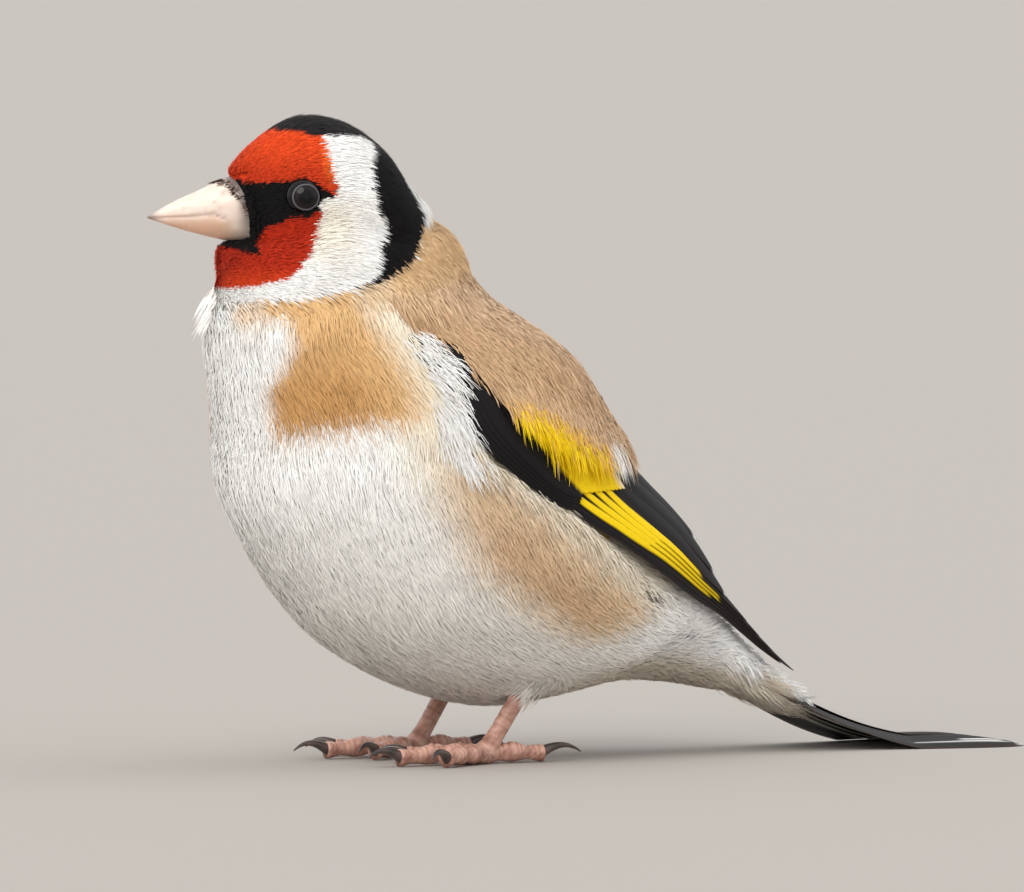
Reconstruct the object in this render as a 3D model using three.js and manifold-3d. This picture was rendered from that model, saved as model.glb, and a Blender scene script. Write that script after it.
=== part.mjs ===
// A European goldfinch, life size, standing with its head turned to its right.
// Millimetres, +Z up. The bird faces -Y and its left side is +X.
import * as THREE from "three";
import { LoftGeometry } from "three/addons/geometries/LoftGeometry.js";
import { mergeVertices } from "three/addons/utils/BufferGeometryUtils.js";
import Module from "manifold-3d";

const wasm = await Module();
wasm.setup();

// Driving sizes
const GAP = 0.32; // clearance between neighbouring nodes
const SIMPLIFY = { feathers: 0.12, rest: 0.06 }; // smaller details are merged away
const FLOOR = 0;
const HEAD_CENTRE = [-0.5, -16.2, 63.3];
const HEAD_TURN = 22; // degrees, to the bird's right
const FOOT_X = 8; // half the stance
const EYE_RADIUS = 2.2;
const EYE_GAP = 0.15;
const EYE_PLACE = { forward: 2.95, side: 7.55, up: 1.2 };
const LID_RADIUS = 1.85;
const BILL_TIP = { forward: 19.8, up: -1.25 };
const FEATHER = 0.75; // thickness of a flight feather along its shaft
const TAIL_LENGTH = 44;

// Cross-sections from the nape down to the end of the tail coverts. Each lies in the plane of X and
// of a line that runs from the breast to the back, tilted up by "tilt" degrees.
const BODY = [
  { y: -17.6, z: 61.5, depth: 10.6, tilt: 16, width: 9.4 },
  { y: -14.8, z: 56.4, depth: 15.2, tilt: 12, width: 11.9 },
  { y: -13.7, z: 51.5, depth: 16.7, tilt: 8, width: 14.3 },
  { y: -8.5, z: 43.8, depth: 21.1, tilt: 8, width: 17.4 },
  { y: -5.0, z: 34.1, depth: 22.9, tilt: 12, width: 19.2 },
  { y: 3.1, z: 22.5, depth: 21.25, tilt: 22, width: 19.0 },
  { y: 15.1, z: 14.9, depth: 16.2, tilt: 31, width: 15.2 },
  { y: 27.3, z: 13.0, depth: 7.7, tilt: 34, width: 9.6 },
  { y: 37.6, z: 9.1, depth: 3.5, tilt: 39, width: 5.8 },
  { y: 46.0, z: 5.4, depth: 1.7, tilt: 48, width: 3.4 },
];
const STATION_ZERO = -1; // the u of BODY[0]; the stations are one apart
const NECK_CUT = 0.55;
const RUMP_CUT = 5.35;

const radians = THREE.MathUtils.degToRad;
const smooth = THREE.MathUtils.smoothstep;
const lerp = THREE.MathUtils.lerp;
const vector = (x, y, z) => new THREE.Vector3(x, y, z);

// One number that follows a list of values, a smooth curve through all of them.
function through(values, t) {
  const i = Math.min(Math.max(Math.floor(t), 0), values.length - 2);
  const f = t - i;
  const at = (n) => values[Math.min(Math.max(n, 0), values.length - 1)];
  const before = i > 0 ? at(i - 1) : 2 * at(0) - at(1);
  const after = i + 2 < values.length ? at(i + 2) : 2 * at(i + 1) - at(i);
  const slopeIn = (at(i + 1) - before) / 2;
  const slopeOut = (after - at(i)) / 2;
  return (
    at(i) * (2 * f ** 3 - 3 * f ** 2 + 1) +
    at(i + 1) * (3 * f ** 2 - 2 * f ** 3) +
    slopeIn * (f ** 3 - 2 * f ** 2 + f) +
    slopeOut * (f ** 3 - f ** 2)
  );
}

// A row of four values that follows the rows of a table in the same way.
function section(table, t) {
  return [0, 1, 2, 3].map((k) =>
    through(
      table.map((row) => row[k]),
      t,
    ),
  );
}

// Straight lines between [t, value] pairs.
function along(pairs, t) {
  const next = pairs.findIndex(([at]) => at >= t);
  if (next === 0) return pairs[0][1];
  if (next < 0) return pairs[pairs.length - 1][1];
  const [from, to] = [pairs[next - 1], pairs[next]];
  return lerp(from[1], to[1], (t - from[0]) / (to[0] - from[0]));
}

// A point of the body: u along it, angle round it in degrees from the middle of the back towards
// the left side, and its height over the plumage.
function bodyPoint(u, angle, height = 0) {
  const t = u - STATION_ZERO;
  const ring = {};
  for (const key of ["y", "z", "depth", "tilt", "width"])
    ring[key] = through(
      BODY.map((station) => station[key]),
      t,
    );
  const a = radians(angle);
  const out = (ring.depth + height) * Math.cos(a);
  return vector(
    (ring.width + height) * Math.sin(a),
    ring.y + out * Math.cos(radians(ring.tilt)),
    ring.z + out * Math.sin(radians(ring.tilt)),
  );
}

function bodyNormal(u, angle) {
  const du = bodyPoint(u + 0.05, angle).sub(bodyPoint(u - 0.05, angle));
  const dAngle = bodyPoint(u, angle + 2).sub(bodyPoint(u, angle - 2));
  return dAngle.cross(du).normalize();
}

// Geometry to solid, whichever way its faces were wound.
function solid(geometry) {
  const bare = new THREE.BufferGeometry();
  const flat = geometry.index ? geometry.toNonIndexed() : geometry;
  bare.setAttribute("position", flat.getAttribute("position").clone());
  const merged = mergeVertices(bare, 1e-4);
  const source = merged.index.array;
  const kept = [];
  for (let i = 0; i < source.length; i += 3) {
    const [a, b, c] = source.slice(i, i + 3);
    if (a !== b && b !== c && a !== c) kept.push(a, b, c);
  }
  const make = (order) =>
    new wasm.Manifold(
      new wasm.Mesh({
        numProp: 3,
        vertProperties: merged.attributes.position.array,
        triVerts: new Uint32Array(order),
      }),
    );
  const made = make(kept);
  return made.volume() > 0 ? made : make(kept.reverse());
}

// A skin over closed sections. They are turned to run anticlockwise about their own direction.
function loftGeometry(sections) {
  const centre = (ring) =>
    ring.reduce((sum, p) => sum.add(p), vector(0, 0, 0)).divideScalar(ring.length);
  const from = centre(sections[0]);
  const onward = centre(sections[1]).sub(from);
  const turning = vector(0, 0, 0);
  sections[0].forEach((p, i, ring) => {
    const next = ring[(i + 1) % ring.length];
    turning.add(p.clone().sub(from).cross(next.clone().sub(from)));
  });
  const rings =
    turning.dot(onward) < 0 ? sections.map((ring) => [...ring].reverse()) : sections;
  return new LoftGeometry(rings, { capStart: true, capEnd: true });
}

const loft = (sections) => solid(loftGeometry(sections));

const union = (solids) => solids.reduce((sum, next) => sum.add(next));

// The largest closed surface of a solid.
const largest = (body) =>
  body.decompose().sort((a, b) => b.volume() - a.volume())[0];

function span(from, to, steps) {
  return Array.from({ length: steps + 1 }, (_, i) =>
    lerp(from, to, i / steps),
  );
}

// The whole body from nape to tail coverts as one solid, grown by "grow".
function bodySolid(grow = 0) {
  const sections = span(-0.9, 8, 20).map((u) =>
    span(0, 360, 24)
      .slice(1)
      .map((angle) => bodyPoint(u, angle, grow)),
  );
  return loft(sections);
}

// A shell that lies over the back between two angles, from height low to height high.
function shell({ from, to, left, right, low, high, sections, steps }) {
  return loft(
    span(from, to, sections).map((u) => {
      const angles = span(right(u), left(u), steps);
      const outer = angles.map((angle) => bodyPoint(u, angle, high(u, angle)));
      const inner = angles.map((angle) => bodyPoint(u, angle, low(u, angle)));
      return [...outer, ...inner.reverse()];
    }),
  );
}

// The seat that the wings and the mantle lie in: sunk into the plumage at the shoulders, and level
// with it over the rump.
const SEAT_DEPTH = -2.1;
const SEAT_EDGE = [
  [0.8, 91],
  [1.4, 95],
  [2.2, 100],
  [2.8, 93],
  [3.4, 79],
  [4.0, 70],
  [4.8, 68],
  [6.0, 75],
  [7.9, 90],
];
const seatFloor = (u) => lerp(SEAT_DEPTH, 0.25, smooth(u, 3.0, 4.8));

function seat(margin) {
  const edge = (u) => along(SEAT_EDGE, u) - (margin ? 1.5 : 0);
  return shell({
    from: 0.85 + margin * 0.08,
    to: 7.95,
    left: edge,
    right: (u) => -edge(u),
    low: (u) => seatFloor(u) + margin,
    high: () => 9,
    sections: 14,
    steps: 12,
  });
}

// Mantle and scapulars: the brown cape that overlaps the roots of both wings
const MANTLE_EDGE = [
  [0.85, 88],
  [1.4, 87],
  [2.3, 81],
  [2.8, 73],
  [3.2, 58],
  [3.6, 36],
  [3.9, 20],
];

function mantle(grow) {
  const edge = (u) => along(MANTLE_EDGE, u) + grow * 3;
  const end = 3.9 + grow * 0.1;
  return shell({
    from: 0.6,
    to: end,
    left: edge,
    right: (u) => -edge(u),
    low: () => SEAT_DEPTH - 0.5,
    high: (u, angle) => {
      const thinning = smooth(Math.abs(angle) / edge(u), 0.7, 1) * 0.5;
      return lerp(0.5, 2.6, smooth(u, 1.3, 3.4)) - thinning + grow;
    },
    sections: 9,
    steps: 10,
  });
}

// A feather: a vane along a list of rows {at, side, normal, half}, thickest along its shaft. Upper
// and lower faces are split into triangles alike.
function vane(rows, thickness) {
  const positions = [];
  rows.forEach(({ at, side, normal, half, thin = 1 }) => {
    const lifted = normal.clone().multiplyScalar((thickness * thin) / 2);
    const across = side.clone().multiplyScalar(half);
    positions.push(
      ...at.clone().sub(across).toArray(),
      ...at.clone().add(lifted).toArray(),
      ...at.clone().add(across).toArray(),
      ...at.clone().sub(lifted).toArray(),
    );
  });
  const [LEFT, TOP, RIGHT, BOTTOM] = [0, 1, 2, 3];
  const index = [];
  for (let row = 0; row + 1 < rows.length; row++) {
    const here = 4 * row;
    const next = here + 4;
    for (const [a, b] of [
      [LEFT, TOP],
      [TOP, RIGHT],
    ])
      index.push(here + a, here + b, next + b, here + a, next + b, next + a);
    for (const [a, b] of [
      [LEFT, BOTTOM],
      [BOTTOM, RIGHT],
    ])
      index.push(here + a, next + b, here + b, here + a, next + a, next + b);
  }
  const last = 4 * (rows.length - 1);
  index.push(LEFT, BOTTOM, TOP, TOP, BOTTOM, RIGHT);
  index.push(last, last + TOP, last + BOTTOM);
  index.push(last + TOP, last + RIGHT, last + BOTTOM);
  const geometry = new THREE.BufferGeometry();
  geometry.setAttribute(
    "position",
    new THREE.Float32BufferAttribute(positions, 3),
  );
  geometry.setIndex(index);
  return solid(geometry);
}

// How wide a feather is along its length: quickly full, then rounded or pointed at its tip.
function vaneWidth(t, point) {
  const opening = lerp(0.55, 1, smooth(t, 0, 0.3));
  const closing = Math.sqrt(Math.max(0, 1 - ((t - 1 + point) / point) ** 2));
  return opening * (t > 1 - point ? Math.max(closing, 0.12) : 1);
}

// A wing feather lies over the body from its root to its tip, both [u, angle]. "bend" curves its
// path towards the back, and "roll" lifts its lower edge over the next feather.
function wingFeather({ root, tip, bend, half, lift, roll, point, rows }) {
  const place = (t) => [
    lerp(root[0], tip[0], t),
    lerp(root[1], tip[1], Math.max(t, 0) ** bend),
  ];
  const at = (t) => {
    const [u, angle] = place(t);
    return bodyPoint(u, angle, wingHeight(u) + lift);
  };
  const made = span(0, 1, rows).map((t) => {
    const forward = at(t + 0.02)
      .sub(at(t - 0.02))
      .normalize();
    const side = forward.clone().cross(bodyNormal(...place(t))).normalize();
    side.applyAxisAngle(forward, radians(roll));
    return {
      at: at(t),
      side,
      normal: side.clone().cross(forward).normalize(),
      half: half * vaneWidth(t, point),
      thin: t > 0.9 ? 0.7 : 1,
    };
  });
  return vane(made, FEATHER);
}

// The middle of the wing's thickness over the plumage
const wingHeight = (u) => lerp(-0.85, 1.35, smooth(u, 3.0, 4.8));

// Rows of wing feathers. Each is numbered from the leading edge inwards, with its root and tip as
// [u, angle] pairs for the first and the last feather of the row.
const WING_ROWS = [
  {
    roots: [[2.7, 84], [3.0, 76]],
    tips: [[7.4, 39], [5.7, 42]],
    count: 8,
    bend: 0.6,
    half: 2.2,
    lift: [-0.4, 0.1],
    roll: 7,
    point: 0.3,
    rows: 7,
  },
  {
    roots: [[3.0, 74], [3.1, 50]],
    tips: [[5.4, 45], [5.1, 31]],
    count: 5,
    bend: 0.8,
    half: 2.8,
    lift: [0.2, 0.4],
    roll: 7,
    point: 0.2,
    rows: 5,
  },
  {
    roots: [[3.0, 42], [3.1, 22]],
    tips: [[5.75, 27], [4.3, 17]],
    count: 3,
    bend: 1,
    half: 3.1,
    lift: [0.8, 1.1],
    roll: 8,
    point: 0.28,
    rows: 5,
  },
  {
    roots: [[2.0, 93], [2.1, 87]],
    tips: [[3.75, 65], [3.6, 64]],
    count: 3,
    bend: 1.3,
    half: 2.0,
    lift: [0.5, 0.7],
    roll: 6,
    point: 0.3,
    rows: 4,
  },
  {
    roots: [[2.4, 80], [2.7, 50]],
    tips: [[3.65, 61], [3.85, 40]],
    count: 5,
    bend: 1,
    half: 2.5,
    lift: [0.75, 0.95],
    roll: 6,
    point: 0.28,
    rows: 4,
  },
  {
    roots: [[1.2, 89], [1.5, 82]],
    tips: [[2.5, 90], [2.7, 79]],
    count: 3,
    bend: 1,
    half: 2.3,
    lift: [0.35, 0.5],
    roll: 5,
    point: 0.35,
    rows: 4,
  },
];

function wing() {
  const core = shell({
    from: 1.1,
    to: 4.0,
    left: (u) => along([[1.1, 89], [2.2, 94], [2.9, 80], [3.4, 70], [4.0, 60]], u),
    right: (u) => along([[1.1, 60], [2.2, 50], [3.0, 30], [4.0, 24]], u),
    low: (u) => wingHeight(u) - 2,
    high: (u) => wingHeight(u) + 0.1,
    sections: 7,
    steps: 6,
  });
  const mix = ([first, last], share) =>
    first.map((value, k) => lerp(value, last[k], share));
  const feathers = WING_ROWS.flatMap((row) =>
    span(0, 1, row.count - 1).map((share) =>
      wingFeather({
        ...row,
        root: mix(row.roots, share),
        tip: mix(row.tips, share),
        lift: lerp(...row.lift, share),
      }),
    ),
  );
  return union([core, ...feathers]);
}

// The tail: twelve feathers in a shallow stack, the middle pair uppermost
const TAIL_ROOT = vector(0, 30.0, 12.2);
const TAIL_SLOPE = -27; // degrees, where the tail leaves the coverts
const TAIL_PAIRS = 6;

// The tail bends up from its slope until its tip lies level on the floor.
function tailLine(distance) {
  const steps = 24;
  const point = TAIL_ROOT.clone();
  for (let i = 0; i < steps; i++) {
    const share = ((i + 0.5) * distance) / steps / TAIL_LENGTH;
    const slope = radians(TAIL_SLOPE * (1 - smooth(share, 0.25, 1.0) * 0.92));
    const step = distance / steps;
    point.y += Math.cos(slope) * step;
    point.z += Math.sin(slope) * step;
  }
  return point;
}

function tailFeather(pair, sign) {
  const outwards = pair / (TAIL_PAIRS - 1);
  const length = TAIL_LENGTH - 3.2 * (1 - outwards) ** 1.5 - (pair < 5 ? 0 : 0.4);
  const spread = sign * lerp(0.8, 9.5, outwards);
  const stack = lerp(0.55, -0.45, outwards);
  const rows = span(0, 1, 8).map((t) => {
    const at = tailLine(t * length);
    const ahead = tailLine(t * length + 0.2).sub(at);
    const fan = spread * lerp(0.22, 1, t);
    ahead.x = ((spread * 0.78) / length) * 0.2;
    const forward = ahead.normalize();
    const up = vector(0, -forward.z, forward.y).normalize();
    const side = forward.clone().cross(up).normalize();
    side.applyAxisAngle(forward, radians(-sign * 6));
    const drop = (fan / 9.5) ** 2 * 0.8;
    at.x = fan;
    at.addScaledVector(up, stack * lerp(1, 0.75, t) - drop * (1 - t * 0.6) + 0.85);
    return {
      at,
      side,
      normal: side.clone().cross(forward).normalize(),
      half: lerp(1.9, 2.9, smooth(t, 0, 0.7)) * vaneWidth(t, 0.16),
    };
  });
  return vane(rows, FEATHER);
}

function tailRoot(grow) {
  const half = 3.4 + grow;
  const sections = span(-grow, 11 + grow, 3).map((distance) => {
    const at = tailLine(Math.max(distance, 0));
    if (distance < 0) at.y += distance;
    const height = 1.0 + grow;
    return [
      vector(-half - distance * 0.1, at.y, at.z + 0.4 - height * 0.6),
      vector(0, at.y, at.z + 0.5 - height),
      vector(half + distance * 0.1, at.y, at.z + 0.4 - height * 0.6),
      vector(half + distance * 0.1, at.y, at.z + 0.8 + height * 0.6),
      vector(0, at.y, at.z + 1.0 + height),
      vector(-half - distance * 0.1, at.y, at.z + 0.8 + height * 0.6),
    ];
  });
  return loft(sections);
}

function tail() {
  const feathers = [];
  for (let pair = 0; pair < TAIL_PAIRS; pair++)
    for (const sign of [-1, 1]) feathers.push(tailFeather(pair, sign));
  return union([tailRoot(0), ...feathers]);
}

// The slot between upper and lower tail coverts
function tailSlot() {
  const sections = span(-0.6, TAIL_LENGTH * 0.75, 10).map((distance) => {
    const at = tailLine(Math.max(distance, 0));
    if (distance < 0) at.y += distance;
    const half = 4.3 + Math.max(distance, 0) * 0.26;
    return [
      vector(-half, at.y, at.z - 1.26),
      vector(0, at.y, at.z - 0.75),
      vector(half, at.y, at.z - 1.26),
      vector(half, at.y, at.z + 1.46),
      vector(0, at.y, at.z + 2.35),
      vector(-half, at.y, at.z + 1.46),
    ];
  });
  return loft(sections);
}

// Head. Its sections run from the nape to the face: [forward, top, bottom, half width].
const SKULL = [
  [-12.8, -1.5, -4.5, 1.5],
  [-11.8, 0.9, -7.5, 4.6],
  [-9.9, 2.9, -10.0, 7.0],
  [-6.7, 6.9, -11.6, 9.0],
  [-3.0, 9.4, -12.2, 9.8],
  [0.5, 10.35, -12.4, 9.9],
  [3.5, 10.15, -12.2, 9.4],
  [6.0, 9.0, -11.8, 8.2],
  [8.5, 7.2, -11.2, 6.4],
  [10.3, 5.4, -10.4, 5.0],
  [11.6, 3.2, -9.6, 3.4],
  [12.5, -1.0, -8.6, 1.6],
];

// Head axes: x to its left, -y forward, z up
function headMatrix() {
  return new THREE.Matrix4()
    .makeRotationZ(-radians(HEAD_TURN))
    .setPosition(...HEAD_CENTRE);
}
const inHead = (geometry) => geometry.applyMatrix4(headMatrix());

function skull(grow) {
  const sections = span(0, SKULL.length - 1, 13).map((t) => {
    const [forward, top, bottom, half] = section(SKULL, t);
    const middle = (top + bottom) / 2;
    const high = (top - bottom) / 2 + grow;
    const reach = forward + grow * ((2 * t) / (SKULL.length - 1) - 1);
    return span(0, 360, 20)
      .slice(1)
      .map((degrees) => {
        const a = radians(degrees);
        return vector(
          (half + grow) * Math.sin(a),
          -reach,
          middle + high * Math.cos(a),
        );
      });
  });
  return solid(inHead(loftGeometry(sections)));
}

// Bill: [forward, top, bottom, half width]
const BILL = [
  [6.5, 3.9, -4.3, 3.9],
  [9.0, 3.7, -4.15, 3.5],
  [11.5, 2.95, -3.8, 2.75],
  [14.0, 1.75, -3.2, 1.95],
  [16.6, 0.6, -2.45, 1.2],
  [18.7, -0.55, -1.75, 0.5],
  [BILL_TIP.forward, BILL_TIP.up + 0.12, BILL_TIP.up - 0.12, 0.12],
];
const MOUTH_LINE = [
  [BILL_TIP.forward + 1, BILL_TIP.up - 0.15],
  [BILL_TIP.forward, BILL_TIP.up - 0.05],
  [15.5, -1.15],
  [12.4, -0.9],
  [10.6, -1.6],
  [8.2, -3.6],
  [5.0, -4.6],
];

function billCone(grow) {
  const sections = span(0, BILL.length - 1, 11).map((t) => {
    const [forward, top, bottom, half] = section(BILL, t);
    return span(0, 360, 14)
      .slice(1)
      .map((degrees) => {
        const a = radians(degrees);
        return vector(
          (half + grow) * Math.sin(a),
          -forward,
          (top + bottom) / 2 + ((top - bottom) / 2 + grow) * Math.cos(a),
        );
      });
  });
  return solid(inHead(loftGeometry(sections)));
}

// Everything below the line of the mouth, raised by "up"
const belowMouth = (up) =>
  throughHead([
    ...MOUTH_LINE.map(([forward, height]) => [forward, height + up]),
    [MOUTH_LINE.at(-1)[0], -12],
    [MOUTH_LINE[0][0], -12],
  ]);

// The face ends where the bill comes out of it: further back at the gape than at the forehead.
const FACE_EDGE = [
  [11.3, 3.3],
  [9.9, 2.3],
  [8.9, 0.4],
  [8.6, -1.0],
  [8.5, -4.2],
  [15.0, -4.7],
  [15.0, 3.9],
];

// Everything within an outline of [forward, up] pairs
function throughHead(outline) {
  const shape = new THREE.Shape(outline.map(([f, up]) => new THREE.Vector2(f, up)));
  const geometry = new THREE.ExtrudeGeometry(shape, { depth: 16, bevelEnabled: false });
  geometry.translate(0, 0, -8);
  geometry.applyMatrix4(
    new THREE.Matrix4().set(0, 0, 1, 0, -1, 0, 0, 0, 0, 1, 0, 0, 0, 0, 0, 1),
  );
  return solid(inHead(geometry));
}

function eyeball(side, grow) {
  const geometry = new THREE.SphereGeometry(EYE_RADIUS + grow, 14, 9);
  geometry.translate(side * EYE_PLACE.side, -EYE_PLACE.forward, EYE_PLACE.up);
  return solid(inHead(geometry));
}

// The ring of the lids, where the eyeball meets the plumage
function lid(side) {
  const geometry = new THREE.TorusGeometry(LID_RADIUS, 0.36, 5, 16);
  geometry.rotateY(radians(90));
  geometry.rotateZ(radians(side * -12));
  geometry.translate(side * (EYE_PLACE.side + 1.55), -EYE_PLACE.forward - 0.3, EYE_PLACE.up);
  return solid(inHead(geometry));
}

function nostril(side) {
  const geometry = new THREE.SphereGeometry(0.5, 8, 6);
  geometry.scale(1, 1.6, 0.8);
  geometry.translate(side * 2.35, -11.4, 1.35);
  return solid(inHead(geometry));
}

// Legs. Toes: [name, direction in degrees off straight ahead and outwards, length, claw length]
const TOES = [
  ["inner", -30, 8.6, 4.2],
  ["middle", 2, 11.2, 4.8],
  ["outer", 32, 8.8, 4.0],
  ["hind", 176, 7.4, 5.8],
];
const TOE_RADIUS = 1.15;
const ANKLE = { back: 8.2, up: 13.2, out: 0.6 };

// A round section across a path at one point
function round(at, forward, radius, sides = 8) {
  const side = forward.clone().cross(vector(0, 0, 1)).normalize();
  const up = side.clone().cross(forward).normalize();
  return span(0, 360, sides)
    .slice(1)
    .map((degrees) =>
      at
        .clone()
        .addScaledVector(side, radius * Math.cos(radians(degrees)))
        .addScaledVector(up, radius * Math.sin(radians(degrees))),
    );
}

function heading(side, degrees) {
  const a = radians(degrees);
  return vector(side * Math.sin(a), -Math.cos(a), 0);
}

function toe(side, [, degrees, length]) {
  const forward = heading(side, degrees);
  const joints = degrees > 90 ? 2 : 3;
  const sections = span(0, 1, joints * 3).map((t) => {
    const bulge = 0.13 * Math.cos(t * joints * 2 * Math.PI);
    const radius = TOE_RADIUS * lerp(1.05, 0.78, t) * (0.92 + bulge);
    const at = vector(side * FOOT_X, 0, 1.0 + 0.25 * Math.sin(t * Math.PI));
    at.addScaledVector(forward, t * length);
    return round(at, forward, radius);
  });
  return loft(sections);
}

function claw(side, [, degrees, length, clawLength]) {
  const forward = heading(side, degrees);
  const start = vector(side * FOOT_X, 0, 1.05).addScaledVector(
    forward,
    length + GAP,
  );
  const sections = span(0, 1, 7).map((t) => {
    const turn = radians(lerp(28, -62, t));
    const reach = clawLength * t * (1 - 0.12 * t);
    const at = start.clone().addScaledVector(forward, reach * 0.93);
    at.z += 1.05 * Math.sin(t * Math.PI * 0.78) - 0.62 * t * t;
    const ahead = forward
      .clone()
      .multiplyScalar(Math.cos(turn))
      .add(vector(0, 0, Math.sin(turn)));
    return round(at, t === 0 ? forward : ahead, lerp(0.82, 0.14, t ** 0.8), 6);
  });
  return loft(sections);
}

// The line of the lower leg: where it starts, where it ends and its direction
function legLine(side) {
  const foot = vector(side * FOOT_X, 0.2, 1.1);
  const ankle = vector(side * (FOOT_X + ANKLE.out), ANKLE.back, ANKLE.up);
  return { foot, ankle, forward: ankle.clone().sub(foot).normalize() };
}

function shank(side) {
  const { foot, ankle, forward } = legLine(side);
  return loft(
    span(0, 1, 10).map((t) => {
      const swell = 0.35 * smooth(Math.abs(t - 0.5), 0.32, 0.5);
      return round(foot.clone().lerp(ankle, t), forward, 0.92 + swell);
    }),
  );
}

// Feathered cuff round the top of the shank
function thigh(side) {
  const { foot, ankle, forward } = legLine(side);
  return loft(
    span(0.5, 1.15, 5).map((t) =>
      round(
        foot.clone().lerp(ankle, t),
        forward,
        lerp(1.7, 5.2, smooth(t, 0.45, 1.15)),
        12,
      ),
    ),
  );
}

const FLOOR_BOX = solid(
  new THREE.BoxGeometry(300, 300, 40).translate(0, 0, FLOOR - 20),
);

// Assembly
const COLOURS = {
  buff: [0xb98d5f, 0.85],
  white: [0xe9e4da, 0.9],
  red: [0xb8230f, 0.8],
  black: [0x17161a, 0.55],
  horn: [0xe3cfbf, 0.45],
  leg: [0x9a6a58, 0.6],
  claw: [0x4a3a38, 0.45],
  eye: [0x120c0a, 0.1],
};

const bird = new THREE.Group();

function node(name, body, colour, detail = SIMPLIFY.rest) {
  const mesh = largest(body.simplify(detail)).getMesh();
  const geometry = new THREE.BufferGeometry();
  geometry.setAttribute(
    "position",
    new THREE.BufferAttribute(mesh.vertProperties, 3),
  );
  geometry.setIndex(new THREE.BufferAttribute(mesh.triVerts, 1));
  geometry.computeVertexNormals();
  const [color, roughness] = COLOURS[colour];
  const material = new THREE.MeshStandardMaterial({ color, roughness, metalness: 0 });
  const made = new THREE.Mesh(geometry, material);
  made.name = name;
  bird.add(made);
}

// A thin cut across the body at a station: which side of it to keep
function cutBody(body, u, keepTail) {
  const back = bodyPoint(u, 0);
  const breast = bodyPoint(u, 180);
  const across = back.clone().sub(breast).normalize();
  const normal = vector(1, 0, 0).cross(across).normalize();
  if (normal.z > 0) normal.negate(); // towards the tail
  const offset = normal.dot(back);
  return keepTail
    ? body.trimByPlane(normal.toArray(), offset + GAP / 2)
    : body.trimByPlane(normal.clone().negate().toArray(), -offset + GAP / 2);
}

const head = skull(0);
const body = bodySolid();
const grownBody = bodySolid(GAP);
const aboveSeat = seat(GAP);

let headNode = head.subtract(billCone(GAP)).subtract(throughHead(FACE_EDGE));
for (const side of [-1, 1])
  headNode = headNode.add(lid(side)).subtract(eyeball(side, EYE_GAP));
node("head", headNode, "red");
const bill = billCone(0);
node(
  "bill_upper",
  bill.subtract(belowMouth(GAP / 2)).subtract(nostril(1)).subtract(nostril(-1)),
  "horn",
);
node("bill_lower", bill.intersect(belowMouth(-GAP / 2)), "horn");
node("eye_left", eyeball(1, 0), "eye");
node("eye_right", eyeball(-1, 0), "eye");

node("neck", cutBody(body, NECK_CUT, false).subtract(skull(GAP)), "white");
const trunk = cutBody(body, NECK_CUT, true).subtract(seat(0)).subtract(skull(GAP));
node("torso", cutBody(trunk, RUMP_CUT, false), "white");
node("rump", cutBody(body, RUMP_CUT, true).subtract(tailSlot()), "white");
node("mantle", mantle(0).intersect(aboveSeat), "buff");
node("tail", tail().subtract(FLOOR_BOX), "black", SIMPLIFY.feathers);

const leftWing = wing();
for (const [name, side, made] of [
  ["wing_left", 1, leftWing],
  ["wing_right", -1, leftWing.mirror([1, 0, 0])],
])
  node(
    name,
    made.intersect(aboveSeat).subtract(mantle(GAP)).trimByPlane([side, 0, 0], GAP / 2),
    "black",
    SIMPLIFY.feathers,
  );

for (const [name, side] of [
  ["left", 1],
  ["right", -1],
]) {
  const cuff = thigh(side).subtract(grownBody);
  node(`thigh_${name}`, cuff, "white");
  const leg = union([shank(side), ...TOES.map((t) => toe(side, t))])
    .subtract(FLOOR_BOX)
    .subtract(grownBody)
    .subtract(largest(cuff));
  node(`leg_${name}`, leg, "leg");
  for (const t of TOES)
    node(`claw_${name}_${t[0]}`, claw(side, t).subtract(FLOOR_BOX), "claw");
}

// The origin is the centre of the box's underside.
const box = new THREE.Box3().setFromObject(bird);
const middle = box.getCenter(vector(0, 0, 0));
bird.position.set(-middle.x, -middle.y, -box.min.z);

export default bird;
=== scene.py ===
"""A European goldfinch at life size: plumage, wings, tail, bill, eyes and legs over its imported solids.

Lengths are millimetres in the bird's own frame until a mesh is made: the bird faces -Y, its left is
+X, and the origin lies on the floor midway between its feet.
"""

from math import cos, pi, radians, sin

import bmesh
import bpy
import numpy as np
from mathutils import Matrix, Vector


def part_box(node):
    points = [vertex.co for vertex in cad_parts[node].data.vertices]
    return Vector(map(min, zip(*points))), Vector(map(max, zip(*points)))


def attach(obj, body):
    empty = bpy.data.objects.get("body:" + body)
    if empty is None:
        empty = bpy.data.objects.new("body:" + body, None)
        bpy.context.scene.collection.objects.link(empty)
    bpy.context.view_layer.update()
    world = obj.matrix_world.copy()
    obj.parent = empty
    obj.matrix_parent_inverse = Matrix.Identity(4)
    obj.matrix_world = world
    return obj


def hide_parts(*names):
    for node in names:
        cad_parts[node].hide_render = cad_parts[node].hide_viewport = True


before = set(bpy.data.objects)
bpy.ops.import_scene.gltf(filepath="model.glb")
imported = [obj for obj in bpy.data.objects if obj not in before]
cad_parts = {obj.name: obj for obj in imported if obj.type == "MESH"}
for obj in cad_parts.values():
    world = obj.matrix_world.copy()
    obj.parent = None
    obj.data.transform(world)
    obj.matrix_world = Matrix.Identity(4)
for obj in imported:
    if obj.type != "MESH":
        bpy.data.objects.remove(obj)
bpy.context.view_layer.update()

# Driving sizes, the same as the solids'
HEAD_CENTRE = np.array([-0.5, -16.2, 63.3])
HEAD_TURN = 22  # degrees, to the bird's right
EYE_RADIUS = 2.2
EYE_PLACE = (2.95, 7.55, 1.2)  # forward, side, up
FOOT_X = 8
ANKLE = (0.6, 8.2, 13.2)  # out, back, up
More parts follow.
